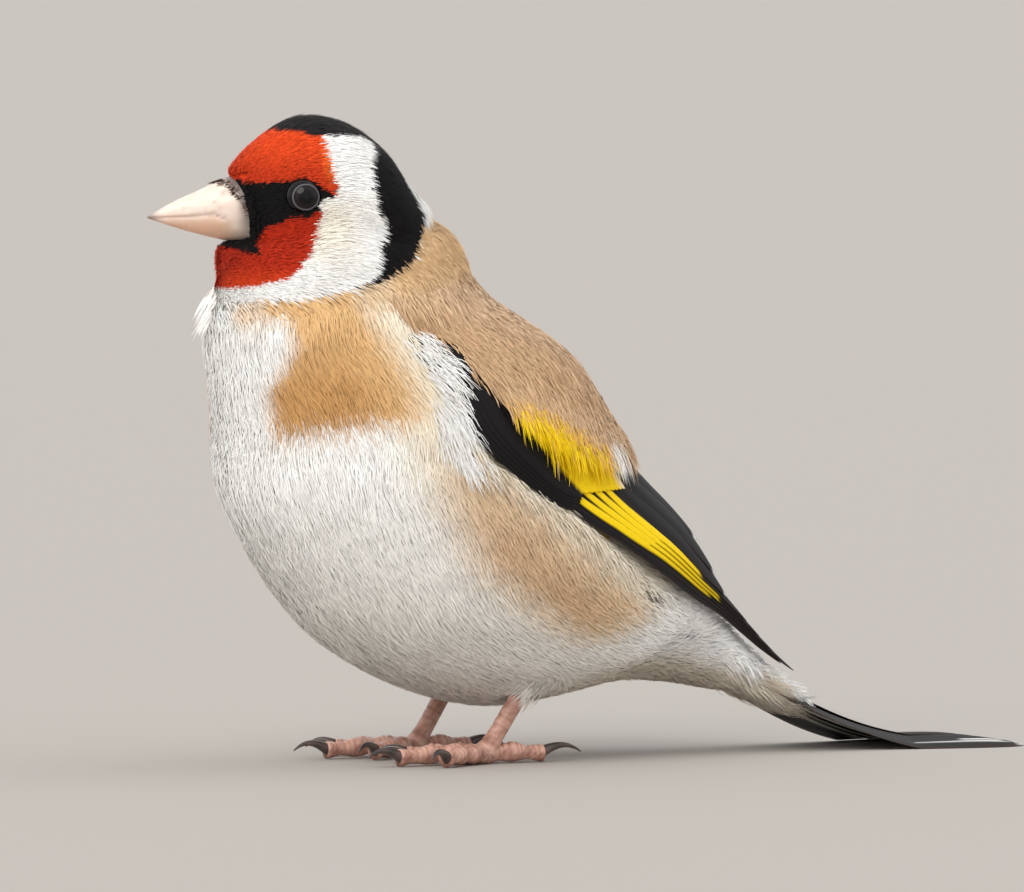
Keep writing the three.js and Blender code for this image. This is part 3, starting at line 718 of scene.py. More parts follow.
def unwrap(points):
    """A place in the 0 to 1 square for each point, from the skin's own shape."""
    u, angle = body_place(points)
    forward, side, up = to_head(points)
    body = np.column_stack([angle / 360 + 0.5, (u + 1) / 9.2 * 0.66 + 0.005])
    around = np.degrees(np.arctan2(side, up + 1.0))
    head = np.column_stack([around / 360 + 0.5, 0.70 + (forward + 14) / 28 * 0.28])
    return np.clip(np.where((u < 0)[:, None], head, body), 0.004, 0.996)


TUFT_PATCH = 0.003


def tufts(roots, normals, lie, strands, length, width, fan, lift, thickness, shade=0.05, paint=None):
    """Feathers as fans of fine barbs along the lie, each size one number or a number for each feather.

    Returns points, faces, colours, UVs and shading normals.
    """
    count = len(roots)
    sizes = (length, width, fan, lift, thickness)
    length, width, fan, lift, thickness = (np.broadcast_to(size, count) for size in sizes)
    across = np.cross(lie, normals)
    n = count * strands
    spread = np.tile(np.linspace(-1, 1, strands), count) + rng.normal(0, 0.25, n)
    each = np.repeat(np.arange(count), strands)
    long_each = length[each] * rng.uniform(0.75, 1.06, n) * (1 - 0.18 * spread**2)
    turn = np.radians(fan[each] * spread + rng.normal(0, 3.5, n))
    direction = lie[each] * np.cos(turn)[:, None] + across[each] * np.sin(turn)[:, None]
    sideways = across[each] * np.cos(turn)[:, None] - lie[each] * np.sin(turn)[:, None]
    roll = np.radians(rng.normal(0, 9, n) - 16 * spread)
    ribbon = sideways * np.cos(roll)[:, None] + normals[each] * np.sin(roll)[:, None]
    start = (
        roots[each]
        + across[each] * (spread * width[each] * 0.5)[:, None]
        + lie[each] * (rng.uniform(-0.1, 0.25, n) * length[each])[:, None]
        - normals[each] * 0.15
    )
    rise = lift[each] * rng.uniform(0.78, 1.12, n) * (1 - 0.35 * spread**2)
    bend = long_each**2 / 34
    half = (thickness[each] * rng.uniform(0.7, 1.2, n) / 2)[:, None]
    middle = start + direction * (long_each * 0.5)[:, None] + normals[each] * (rise * 0.85)[:, None]
    tip = start + direction * long_each[:, None] + normals[each] * (rise - bend)[:, None]
    corners = (
        start - ribbon * half,
        start + ribbon * half,
        middle + ribbon * half * 0.95,
        middle - ribbon * half * 0.95,
        tip,
    )
    points = np.stack(corners, 1)
    points[..., 2] = np.maximum(points[..., 2], 0.05)
    base = np.arange(n)[:, None] * 5
    faces = np.concatenate([base + [[0, 1, 2]], base + [[0, 2, 3]], base + [[3, 2, 4]]], 1).reshape(-1, 3)
    tone = np.exp(rng.normal(0, shade, n) + rng.normal(0, shade * 0.5, count)[each])
    seen = middle + direction * (long_each * 0.2)[:, None]
    painted = plumage_colours(seen) if paint is None else np.tile(paint, (n, 1))
    painted = painted * (tone * (1 + 0.05 * waves(seen, 0.9)))[:, None]
    # Painted shade: each barb a little darker at its root, where the barbs over it shade it, and a little
    # lighter at its tip
    shaded = np.stack([painted * 0.93, painted * 0.93, painted, painted, painted * 1.02], 1)
    uv = unwrap(roots)[each]
    steps = np.array([[-0.5, -0.5], [0.5, -0.5], [0.5, 0.1], [-0.5, 0.1], [0.0, 0.5]]) * TUFT_PATCH * 0.3
    offset = np.column_stack([spread * TUFT_PATCH * 0.35, np.zeros(n)])
    patch = uv[:, None] + offset[:, None] + steps[None]
    facing = np.cross(ribbon, direction)
    facing *= np.sign(dot(facing, normals[each]))[:, None]
    shading = np.repeat(unit(normals[each] * 0.8 + facing * 0.2), 5, axis=0)
    return points.reshape(-1, 3), faces, shaded.reshape(-1, 3), patch.reshape(-1, 2), shading


STRANDS_A_PIECE = 62000


def make_coat(name, slot, made):
    """Plumage as pieces small enough to hand on; a barb has five points and three triangles."""
    points, faces, colours, uvs, shading = made
    whole = len(points) // 5
    for number, start in enumerate(range(0, whole, STRANDS_A_PIECE)):
        end = min(start + STRANDS_A_PIECE, whole)
        part = slice(start * 5, end * 5)
        own_faces = faces[start * 3 : end * 3] - start * 5
        label = f"{name}_{number + 1}"
        piece = make_mesh(label, points[part], own_faces, slot, PLUMAGE, colours[part], uvs[part])
        piece.data.normals_split_custom_set_from_vertices(shading[part])


skin_points, skin_faces = make_skin()
# The skin is painted 7% darker than the plumage over it: painted shade in the gaps between the barbs
skin = make_mesh(
    "skin", skin_points, skin_faces, "body_plumage", SKIN, plumage_colours(skin_points) * 0.93
)
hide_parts("head", "neck", "torso", "rump", "mantle", "thigh_left", "thigh_right")

# Where each face of the skin lies
face_centres = skin_points[skin_faces].mean(1)
face_u, face_angle = body_place(face_centres)
face_forward, face_side, face_up = to_head(face_centres)
is_head = (face_u < 0.15) & (face_up > -11)


def eye_distance(forward, up):
    """How far a place in the head's frame lies from the eye, seen from the side."""
    return np.hypot(forward - EYE_PLACE[0], up - EYE_PLACE[2])


def head_coat(count):
    """Short, fine plumage, smallest at the bill and the eyes and none over them."""
    at_eye = (eye_distance(face_forward, face_up) < 1.5) & (np.abs(face_side) > 5)
    row = np.interp(face_forward, BILL[:, 0], range(len(BILL)))
    _, top, bottom, half = through(BILL, row).T
    in_bill = (face_forward > 8.0) & (face_up < top) & (face_up > bottom) & (np.abs(face_side) < half)
    density = (is_head & ~at_eye & ~in_bill) * mix(2.0, 1.0, smooth(face_forward, 10, 2))
    roots, normals = sample(skin_points, skin_faces, density, count)
    forward, _, up = to_head(roots)
    size = mix(0.5, 1.0, smooth(forward, 10, 1)) * mix(0.55, 1.0, smooth(eye_distance(forward, up), 1.8, 5))
    return tufts(
        roots,
        normals,
        flow(roots, normals),
        strands=8,
        length=2.1 * size * rng.uniform(0.8, 1.2, count),
        width=0.7 * size,
        fan=13,
        lift=HEAD_COAT * (0.55 + 0.45 * size),
        thickness=0.12 * (0.6 + 0.4 * size),
    )


CAPE_END = [(0, 3.5), (20, 3.3), (40, 3.2), (60, 3.1)]  # (angle, u) of the cape's last roots
CAPE_SIDE = [(1.2, 0.5), (2.2, 3.0), (3.0, 4.0)]  # (u, angle) that its roots keep inside its edge


def body_coat(count):
    """Longer, looser barbs, with none under the wings nor past the cape's edge."""
    angle = np.abs(face_angle)
    mantle = in_mantle(face_u, face_angle)
    past_cape = (face_u > along(CAPE_END, angle)) & (mantle > 0.3)
    cape_side = along(CAPE_EDGE, face_u) - along(CAPE_SIDE, face_u)
    past_cape |= (angle > cape_side) & (angle < 84) & (face_u > 0.95) & (face_u < 3.2)
    bare = is_head | past_cape | (face_u > 7.75) | (under_wing(face_u, face_angle) > 0.6)
    density = ~bare * mix(1.0, 1.5, mantle) * mix(1.3, 1.0, smooth(face_u, 0.2, 1.2))
    roots, normals = sample(skin_points, skin_faces, density, count)
    u, angle = body_place(roots)
    cape = in_mantle(u, angle)
    rear = smooth(u, 6.0, 7.6)
    length = mix(4.8, 4.2, cape) * mix(0.6, 1.0, smooth(u, 0.0, 1.0)) * rng.uniform(0.7, 1.3, count)
    length = length * mix(1.0, 0.5, smooth(roots[:, 2], 13.5, 10.5) * (u < 6.0)) * mix(1.0, 0.75, rear)
    return tufts(
        roots,
        normals,
        flow(roots, normals),
        strands=11,
        length=length,
        width=1.6,
        fan=mix(12.0, 8.0, cape),
        lift=mix(mix(1.15, 0.95, cape), 0.3, rear),
        thickness=0.155,
    )


def loose_feathers(side, count):
    """Long white barbs from the side of the breast, lying open over the front of the wing."""
    u = rng.uniform(1.15, 3.0, count)
    angle = along(WING_LOW_EDGE, u) + rng.uniform(0.5, 9, count)
    roots = body_point(u, side * angle, -0.9)
    normals = body_normal(u, side * angle)
    back = unit(body_point(u, side * (angle - 2)) - body_point(u, side * angle))
    lie = laid_flat(flow(roots, normals) + back * rng.uniform(0.0, 0.3, count)[:, None], normals)
    length = rng.uniform(4.5, 7.5, count) * mix(1.0, 0.7, smooth(u, 2.3, 2.9))
    return tufts(roots, normals, lie, 5, length, width=1, fan=7, lift=1.5, thickness=0.11, paint=WHITE)


def throat_feathers(count):
    """A few feathers that stand out from the throat."""
    side = rng.uniform(-3.5, 3.5, count)
    roots = from_head(rng.uniform(11.6, 12.6, count), side, rng.uniform(-11.2, -9.6, count))
    out = unit(FORWARD * 0.4 + LEFT * np.sign(side)[:, None])
    lie = unit(FORWARD * 0.42 - UP + rng.normal(0, 0.12, (count, 3)))
    length = rng.uniform(3.0, 4.6, count)
    return tufts(roots, out, lie, 9, length, width=0.9, fan=-3, lift=0.2, thickness=0.2, paint=WHITE)


def nasal_bristles(count):
    """Short dark bristles lying forward over the base of the bill."""
    a = np.radians(rng.uniform(-105, 105, count))
    edge = along(FACE_EDGE, to_head(bill_point(1.3, a))[2])
    row = np.interp(edge + rng.uniform(-0.5, 0.5, count), BILL[:, 0], range(len(BILL)))
    out = unit(LEFT * np.sin(a)[:, None] + UP * np.cos(a)[:, None] + FORWARD * 0.25)
    lie = laid_flat(FORWARD - UP * 0.12 + rng.normal(0, 0.2, (count, 3)), out)
    length = rng.uniform(0.5, 1.2, count) * mix(1.0, 0.5, smooth(np.abs(a), 1.0, 1.8))
    roots = bill_point(row, a)
    return tufts(roots, out, lie, 4, length, width=0.3, fan=12, lift=0.2, thickness=0.08, paint=BRISTLE)


make_coat("coat_head", "head_plumage", head_coat(17000))
make_coat("coat_body", "body_plumage", body_coat(24000))
make_coat("nasal_bristles", "head_plumage", nasal_bristles(520))
make_coat("loose_left", "body_plumage", loose_feathers(1, 150))
make_coat("loose_right", "body_plumage", loose_feathers(-1, 150))
make_coat("loose_throat", "head_plumage", throat_feathers(26))

# Wings and tail
VANE_ROWS = 60
VANE_COLUMNS = 9


def vane_width(t, point, base):
    """Share of a vane's full width along it: base at its root, with a rounded point at its end."""
    opening = mix(base, 1, smooth(t, 0, 0.35))
    closing = np.sqrt(np.clip(1 - ((t - 1 + point) / point) ** 2, 0, 1))
    return opening * np.where(t > 1 - point, np.maximum(closing, 0.03), 1)


def make_vane(path, normals, half, point, roll, thickness, lean=0.0, base=0.55):
    """A closed thin vane along a path, its shaft raised; lean 1 puts the path on its lower edge.

    Returns points, faces and, for each point, its share of the length and its place across.
    """
    t = np.linspace(0, 1, len(path))
    ahead = unit(np.gradient(path, axis=0))
    side = unit(np.cross(ahead, normals))
    upward = np.cross(side, ahead)
    side = side * cos(radians(roll)) + upward * sin(radians(roll))
    upward = np.cross(side, ahead)
    across = np.linspace(-1, 1, VANE_COLUMNS)
    width = half * vane_width(t, point, base)[:, None]
    camber = -0.10 * across**2 * width
    shaft = np.exp(-(((across - 0.25 * lean) / 0.12) ** 2)) * 0.06 * (1 - t * 0.7)[:, None]
    thin = (thickness / 2) * (1 - 0.75 * across**2) * (1 - 0.5 * t[:, None])
    middle = path[:, None] + side[:, None] * ((across - lean) * width)[..., None]
    top = middle + upward[:, None] * (camber + thin + shaft)[..., None]
    bottom = middle + upward[:, None] * (camber - thin - shaft * 0.5)[..., None]
    points, faces = closed_tube(np.concatenate([top, bottom[:, ::-1]], 1))
    share, place = np.meshgrid(t, np.concatenate([across, across[::-1]]), indexing="ij")
    share = np.append(share.ravel(), (0.0, 1.0))
    place = np.append(place.ravel(), (0.0, 0.0))
    return points, outward(points, faces), share, place


# The folded wing. An edge is a list of (u, angle) along a feather's lower side.
LOWEST = [(3.2, 80), (3.6, 72), (4.1, 64), (4.55, 61), (5.1, 58.5), (5.8, 57), (6.7, 57), (7.4, 53)]
GOLD_LOW = [
    (3.0, 78), (3.4, 71), (3.95, 62), (4.5, 56.5), (5.0, 53.5), (5.5, 51.5), (6.2, 51), (7.4, 51.5)
]
GOLD_HIGH = [(3.0, 55), (3.5, 52.5), (3.9, 51), (4.45, 48), (5.1, 46), (5.65, 43.5), (6.4, 43), (7.4, 48)]
GOLD_ENDS = [(-0.01, 0), (0.0, 5.5), (0.26, 5.72), (0.5, 5.68), (0.74, 5.12)]  # (share, u)


def primary_edge(u, share):
    """Lower side of a primary: from 0 to 1 up the yellow panel, and below it where negative."""
    if share < 0:
        return mix(along(GOLD_LOW, u), along(LOWEST, u), share * -2)
    return mix(along(GOLD_LOW, u), along(GOLD_HIGH, u), share)


def primary_paint(u, across, gold_end):
    """Black, with a yellow outer web that ends in a point."""
    web = smooth(across, -0.15, 0.0)
    gold = smooth(u + (1 - across) * 0.12, gold_end + 0.05, gold_end - 0.07)
    colour = blend(np.tile(VANE_BLACK, (len(u), 1)), YELLOW, gold * web)
    colour = blend(colour, VANE_BLACK, smooth(across, 0.86, 0.97) * 0.75)
    return blend(colour, VANE_BROWN, smooth(across, 0.8, 1.0) * smooth(u, gold_end, gold_end + 0.3) * 0.6)


def tertial_paint(u, across, tip_u):
    """Black, with brown rims and a white tip."""
    colour = np.tile(VANE_BLACK, (len(u), 1))
    colour = blend(colour, VANE_BROWN, smooth(np.abs(across), 0.75, 1.0) * 0.7)
    return blend(colour, WHITE, smooth(u, tip_u - 0.1, tip_u) * smooth(np.abs(across), 0.0, 0.5) * 0.9)


def covert_paint(points):
    """Yellow above the bar's lower edge, black below it, and buff-white at its upper end."""
    u, angle = body_place(points)
    edge = along(CAPE_EDGE, u)
    gold = smooth(angle, edge + 1.0, edge - 1.0) * smooth(u, 2.3, 2.5)
    colour = blend(np.tile(VANE_BLACK, (len(u), 1)), YELLOW, gold)
    return blend(colour, CREAM, smooth(angle, 51, 46) * 0.9)


def tertial_edge(u, above):
    """Lower side of a tertial, so many degrees above the yellow panel."""
    return along(GOLD_HIGH, u) - above


def edge_feather(edge, at, end, half, lift, roll, point):
    """A flight feather whose lower side follows an edge back to a u. Returns it and its points' u."""
    start = 3.0
    u = np.linspace(start, end, VANE_ROWS)
    angle = edge(u, at)
    path = body_point(u, angle, wing_height(u) + lift)
    made = make_vane(path, body_normal(u, angle), half, point, roll, 0.14, lean=1.0)
    return made, mix(start, end, made[2])


def covert_feather(root, tip, bend, half, lift, roll, point):
    """A covert from one (u, angle) to another, lower at its tip."""
    t = np.linspace(0, 1, VANE_ROWS)
    u = mix(root[0], tip[0], t)
    angle = mix(root[1], tip[1], t**bend)
    path = body_point(u, angle, wing_height(u) + lift - 0.35 * smooth(t, 0.5, 1.0))
    return make_vane(path, body_normal(u, angle), half, point, roll, 0.16)


PRIMARIES = [
    # lower edge's share of the yellow panel, tip u, half width, lift
    (-0.5, 7.15, 1.2, -0.2),
    (-0.2, 7.4, 1.2, -0.05),
    (0.0, 7.15, 1.1, 0.1),
    (0.26, 6.9, 1.0, 0.25),
    (0.5, 6.6, 1.0, 0.4),
    (0.74, 6.3, 1.0, 0.55),
]
TERTIALS = [
    # angle above the panel's upper edge, tip u, half width, lift
    (0.5, 5.75, 1.7, 0.75),
    (8.0, 5.3, 2.0, 0.92),
    (17.0, 4.75, 2.4, 1.1),
]
COVERTS = [
    # count, first and last root, first and last tip, bend, half, first and last lift, roll, point
    (5, (2.0, 93), (2.15, 84), (3.6, 70), (3.52, 66.5), 1.3, 1.7, (0.5, 0.8), 5, 0.3),
    (11, (2.3, 78), (2.75, 50), (3.5, 65), (3.66, 47), 1.0, 1.5, (0.8, 1.2), 6, 0.8),
    (6, (1.1, 90), (1.5, 82), (2.5, 92), (2.8, 78), 1.0, 2.0, (0.3, 0.55), 5, 0.4),
]


def left_wing():
    """Points, faces and colours of every vane of the left wing."""
    vanes, colours = [], []
    for share, end, half, lift in PRIMARIES:
        made, u = edge_feather(primary_edge, share, end, half, lift, 6, 0.3)
        vanes.append(made[:2])
        colours.append(primary_paint(u, made[3], along(GOLD_ENDS, share)))
    for above, end, half, lift in TERTIALS:
        made, u = edge_feather(tertial_edge, above, end, half, lift, 7, 0.28)
        vanes.append(made[:2])
        colours.append(tertial_paint(u, made[3], end))
    for count, root, last_root, tip, last_tip, bend, half, lift, roll, point in COVERTS:
        for share in np.arange(count) / (count - 1):
            first = [mix(a, b, share) for a, b in zip(root, last_root)]
            last = [mix(a, b, share) for a, b in zip(tip, last_tip)]
            made = covert_feather(first, last, bend, half, mix(*lift, share), roll, point)
            vanes.append(made[:2])
            colours.append(covert_paint(made[0]))
    return *join(vanes), np.vstack(colours)


def make_wings():
    """The left wing, and its mirror image on the right."""
    points, faces, colours = left_wing()
    for side, name in SIDES:
        own = (points * [side, 1, 1], faces[:, ::side])
        wing = make_mesh(f"wing_vanes_{name}", *own, "flight_feathers", VANES, colours)
        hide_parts(f"wing_{name}")


make_wings()

TAIL_ROOT = np.array([0, 30.0, 12.2])
TAIL_SLOPE = -27
TAIL_PAIRS = 6
TAIL_FAN = 9.5  # how far out the outermost shafts end
TAIL_VANE = 2.75  # half the width of each feather


def tail_line(distance):
    """Places along the tail's middle, bending up until its tip lies level."""
    steps = np.linspace(0, 1, 201)
    share = steps * np.max(distance) / TAIL_LENGTH
    slope = np.radians(TAIL_SLOPE * (1 - smooth(share, 0.25, 1.0) * 0.92))
    step = np.max(distance) / 200
    y = TAIL_ROOT[1] + np.concatenate([[0], np.cumsum(np.cos(slope[:-1]))]) * step
    z = TAIL_ROOT[2] + np.concatenate([[0], np.cumsum(np.sin(slope[:-1]))]) * step
    at = distance / np.max(distance)
    return np.interp(at, steps, y), np.interp(at, steps, z)


def tail_spread(t):
    """Half the width of the folded tail at a share of its length."""
    return TAIL_FAN * mix(0.1, 1, t**1.1) + TAIL_VANE * vane_width(t, 0.16, 0.35)


def tail_paint(pair, t, across):
    """Black with white tips, and white spots and pale webs on the outer pairs; across 1 is inside."""
    colour = np.tile(VANE_BLACK, (len(t), 1))
    if pair > 3:
        white = 0.14 if pair == 4 else 0.3
        spot = smooth(t, 0.97 - white, 0.99 - white) * smooth(t, 0.97, 0.94) * smooth(across, -0.1, 0.1)
        colour = blend(colour, WHITE, spot)
    colour = blend(colour, WHITE, smooth(t, 0.97, 1.0) * 0.9)
    colour = blend(colour, VANE_BROWN, smooth(np.abs(across), 0.7, 0.95) * 0.8)
    pale = smooth(across, 0.2, 0.7) * smooth(t, 0.06, 0.14) * smooth(t, 0.82, 0.7)
    return blend(colour, TAIL_PALE, pale * (pair > 3))


def tail_feather(pair, sign):
    """One tail feather, kept clear of the floor. Returns points and faces, and its colours."""
    outwards = pair / (TAIL_PAIRS - 1)
    length = TAIL_LENGTH - 3.2 * (1 - outwards) ** 1.5 - (0.4 if pair == 5 else 0)
    t = np.linspace(0, 1, VANE_ROWS)
    y, z = tail_line(t * length)
    fan = sign * mix(0.8, TAIL_FAN, outwards) * mix(0.1, 1, t**1.1)
    slope = np.gradient(z) / np.gradient(y)
    up = unit(np.column_stack([np.zeros(VANE_ROWS), -slope, np.ones(VANE_ROWS)]))
    drop = (fan / TAIL_FAN) ** 2 * 0.8
    stack = mix(0.55, -0.45, outwards)
    raise_by = stack * mix(1, 0.75, t) - drop * (1 - t * 0.6) + 0.85
    path = np.column_stack([fan, y, z]) + up * raise_by[:, None]
    points, faces, share, across = make_vane(path, up, TAIL_VANE, 0.16, -sign * 6, 0.24, base=0.35)
    rows = points[:-2].reshape(VANE_ROWS, -1, 3)
    floor_gap = 0.05 + 0.12 * (TAIL_PAIRS - 1 - pair)
    rows[..., 2] += np.maximum(0, floor_gap - rows[..., 2].min(1))[:, None]
    points[-2:] = rows[[0, -1]].mean(1)
    return (points, faces), tail_paint(pair, share, -sign * across)


def make_tail():
    """The folded tail, its outer pairs lowest."""
    feathers = [tail_feather(pair, sign) for pair in range(TAIL_PAIRS) for sign in (-1, 1)]
    points, faces = join([shape for shape, _ in feathers])
    colours = np.vstack([colour for _, colour in feathers])
    tail = make_mesh("tail_vanes", points, faces, "flight_feathers", VANES, colours)
    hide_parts("tail")


make_tail()


def undertail_feathers(count):
    """Long pale feathers that cover the base of the tail from below and from the sides."""
    a = np.radians(rng.uniform(92, 268, count))
    distance = rng.uniform(2.5, 12.5, count) * mix(0.8, 1.0, smooth(-np.cos(a), 0.2, 0.9))
    y, z = tail_line(distance)
    further_y, further_z = tail_line(distance + 0.5)
    lie = unit(np.column_stack([np.zeros(count), further_y - y, further_z - z]))
    above = np.cross(lie, [-1.0, 0, 0])
    half = tail_spread(distance / TAIL_LENGTH) + 0.5
    depth = 1.2
    out = unit([1.0, 0, 0] * np.sin(a)[:, None] * depth + above * (np.cos(a) * half)[:, None])
    roots = np.column_stack([half * np.sin(a), y, z]) + above * (depth * np.cos(a) + 0.2)[:, None]
    length = rng.uniform(4.5, 6.5, count)
    sizes = {"width": 1.5, "fan": 8, "lift": 0.3, "thickness": 0.16}
    return tufts(roots, out, lie, 10, length, **sizes, shade=0.04, paint=VENT)


make_coat("undertail", "body_plumage", undertail_feathers(480))

# Bill
MOUTH_LINE = [(5.0, -4.6), (8.2, -3.6), (10.6, -1.6), (12.4, -0.9), (15.5, -1.15), (19.8, -1.3)]


def bill_paint(points):
    """Pale horn, streaked and specked, with shade on its lower half, base, rim, mouth line and tip."""
    forward, _, up = to_head(points)
    mouth = along(MOUTH_LINE, forward)
    streaks = np.clip(waves(points * [1, 1, 3], 1.9) * 0.5 + 0.35, 0, 1)
    specks = smooth(waves(points, 5.0), 0.45, 0.75) * smooth(np.abs(forward - 14), 3, 1)
    lower = smooth(up, mouth + 0.3, mouth - 1.2)
    rim = smooth(forward - along(FACE_EDGE, up), 1.5, 0.1) * smooth(up, -3.4, 0.5)
    line = np.exp(-(((up - mouth) / 0.14) ** 2)) * smooth(forward, 10.4, 12)
    colour = np.tile(tint(244, 226, 212), (len(points), 1))
    for shade, share in (
        (tint(232, 190, 164), streaks * 0.35),
        (tint(190, 120, 84), specks * smooth(np.abs(up), 1.6, 0.4) * 0.5),
        (tint(226, 178, 140), lower * 0.75 * smooth(forward, 8.5, 12)),
        (tint(140, 118, 108), smooth(forward, 10.6, 8.6) * smooth(up, -4.0, -1.5) * 0.65),
        (BRISTLE, rim * 0.85),
        (tint(168, 124, 104), line * 0.6),
        (tint(120, 108, 104), smooth(forward, 18.0, 19.8) * 0.8),
    ):
        colour = blend(colour, shade, share)
    return colour


def make_bill():
    """Both halves as one horn, pinched along the mouth line, with a hollow at each nostril."""
    t = np.linspace(0, len(BILL) - 1, 70)
    forward, top, bottom, half = through(BILL, t).T
    angles = np.linspace(0, 2 * pi, 73)[:-1]
    up = ((top + bottom) / 2)[:, None] + ((top - bottom) / 2)[:, None] * np.cos(angles)
    side = half[:, None] * np.sign(np.sin(angles)) * np.abs(np.sin(angles)) ** 0.9
    reach = np.broadcast_to(forward[:, None], up.shape)
    mouth = along(MOUTH_LINE, forward)[:, None]
    pinched = smooth(forward, 19.6, 17) * smooth(forward, 10.6, 12)
    side = side * (1 - np.exp(-(((up - mouth) / 0.16) ** 2)) * 0.1 * pinched[:, None])
    for hole in (-1, 1):
        near = np.exp(-(((reach - 11.2) / 0.55) ** 2 + ((up - 1.5) / 0.32) ** 2)) * (np.sign(side) == hole)
        side = side * (1 - near * 0.16)
    points, faces = closed_tube(from_head(reach, side, up))
    bill = make_mesh("bill", points, outward(points, faces), "bill_horn", HORN, bill_paint(points))
    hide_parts("bill_upper", "bill_lower")


make_bill()


# Eyes
def around_eye(side, forward, out, up):
    """Points given by how far they lie from the eye's centre."""
    return from_head(EYE_PLACE[0] + forward, side * (EYE_PLACE[1] + out), EYE_PLACE[2] + up)


def make_eyeball(side, name):
    """A dark eye, with its iris only just paler than its pupil."""
    a, b = np.meshgrid(np.linspace(0, pi, 33), np.linspace(0, 2 * pi, 49)[:-1], indexing="ij")
    x, y, z = EYE_RADIUS * np.array([np.sin(a) * np.cos(b), np.cos(a), np.sin(a) * np.sin(b)])
    points, faces = closed_tube(around_eye(side, x, y, z))
    forward, _, up = to_head(points)
    from_middle = eye_distance(forward, up)
    iris = blend(tint(8, 7, 8), tint(34, 27, 26), smooth(from_middle, 0.7, 1.1))
    colour = blend(iris, tint(10, 9, 10), smooth(from_middle, 1.15, 1.35))
    eye = make_mesh(f"eyeball_{name}", points, outward(points, faces), "eyes", EYE, colour)
    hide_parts(f"eye_{name}")


def make_lid(side, name):
    """A beaded ring round the eye's opening."""
    rings, columns = 64, 14
    ring = np.linspace(0, 2 * pi, rings + 1)[:-1, None]
    tube = np.linspace(0, 2 * pi, columns + 1)[None, :-1]
    bead = 1 + 0.12 * np.sin(ring * 26)
    radius = 1.42 + 0.15 * np.cos(tube) * bead
    out = 1.62 + 0.2 * np.sin(tube) * bead
    points = around_eye(side, radius * np.cos(ring), out, radius * np.sin(ring) * 0.97).reshape(-1, 3)
    faces = triangles(grid_faces(rings + 1, columns, wrap=True) % len(points))
    inner = np.tile(smooth(np.cos(tube[0]), 0.3, -0.7), rings)
    shade = blend(tint(88, 86, 92), tint(24, 22, 24), inner)
    make_mesh(f"lid_{name}", points, outward(points, faces), "head_plumage", LID, shade)


for side, name in SIDES:
    make_eyeball(side, name)
    make_lid(side, name)

# Legs
TOES = [
    # name, degrees out from straight ahead, length, its claw's length
    ("inner", -30, 8.6, 4.2),
    ("middle", 2, 11.2, 4.8),
    ("outer", 32, 8.8, 4.0),
    ("hind", 176, 7.4, 5.8),
]
TOE_RADIUS = 1.15
FLESH = tint(212, 166, 148)
FLESH_DARK = tint(140, 90, 74)


def scale_relief(t, count, depth):
    """Raised bands of uneven length with sharp grooves between them."""
    phase = (t * count + 0.22 * np.sin(t * count * 2.3)) % 1
    return depth * (1 - np.exp(-((np.minimum(phase, 1 - phase) / 0.16) ** 2)))


def heading(side, degrees):
    """The direction of a toe over the floor."""
    a = radians(degrees)
    return np.array([side * sin(a), -cos(a), 0])


def painted_tube(centres, directions, radii, relief, colour_of):
    """Rings with relief on their upper side, and their colours."""
    sides = 24
    grid = rings_along(centres, directions, radii, sides)
    a = np.linspace(0, 2 * pi, sides + 1)[:-1]
    upper = smooth(np.sin(a), -0.3, 0.5)
    grid = grid + (grid - centres[:, None]) * (relief[:, None] * upper)[..., None]
    points, faces = closed_tube(grid)
    groove = np.append(np.repeat(1 - relief / max(relief.max(), 0.01), sides), (0.0, 0.0))
    return points, outward(points, faces), colour_of(points, groove)


def leg_paint(points, groove):
    """Patchy flesh colour, with painted shade in the grooves and at the floor."""
    patches = np.clip(0.3 + 0.5 * waves(points, 1.9) + 0.35 * waves(points, 7.0), 0, 1)
    colour = blend(FLESH, FLESH_DARK, patches)
    # Painted shade in the grooves between the scales
    colour = blend(colour, FLESH_DARK, groove * 0.5)
    # Painted shade where the foot meets the floor
    return blend(colour, FLESH_DARK, smooth(points[:, 2], 0.7, 0.1) * 0.7)


def claw_paint(points, _groove):
    """Dark horn, which has no grooves."""
    patches = np.clip(0.5 + 0.6 * waves(points, 2.4), 0, 1)
    return blend(tint(92, 74, 68), tint(44, 36, 34), patches)


def shank(side):
    """The bare lower leg, swollen at the foot and at the ankle."""
    foot, ankle = leg_line(side)
    t = np.linspace(0, 1.05, 90)
    radii = 0.95 + 0.35 * smooth(np.abs(t - 0.5), 0.32, 0.5)
    centres = foot + (ankle - foot) * t[:, None]
    directions = np.tile(unit(ankle - foot), (len(t), 1))
    return painted_tube(centres, directions, radii, scale_relief(t, 9, 0.06), leg_paint)


def make_toe(side, degrees, length):
    """A toe with a pad under each of its joints."""
    forward = heading(side, degrees)
    joints = 2 if degrees > 90 else 3
    t = np.linspace(0, 1, 80)
    bulge = 0.13 * np.cos(t * joints * 2 * pi)
    radii = TOE_RADIUS * mix(1.05, 0.78, t) * (0.92 + bulge)
    centres = np.array([side * FOOT_X, 0, 0]) + forward * (t * length)[:, None]
    centres[:, 2] = 1.0 + 0.25 * np.sin(t * pi)
    directions = np.tile(forward, (len(t), 1))
    return painted_tube(centres, directions, radii, scale_relief(t, length * 1.3, 0.1), leg_paint)


def make_claw(side, degrees, toe_length, length):
    """A curved claw, rooted inside the end of its toe."""
    forward = heading(side, degrees)
    t = np.linspace(0, 1, 30)
    turn = np.radians(mix(28, -62, t))
    reach = toe_length - 0.4 + (length + 0.7) * t * (1 - 0.12 * t) * 0.93
    centres = np.array([side * FOOT_X, 0, 1.05]) + forward * reach[:, None]
    centres[:, 2] += 1.05 * np.sin(t * pi * 0.78) - 0.62 * t * t
    directions = forward * np.cos(turn)[:, None] + UP * np.sin(turn)[:, None]
    return painted_tube(centres, directions, mix(0.74, 0.09, t**0.8), 0 * t, claw_paint)


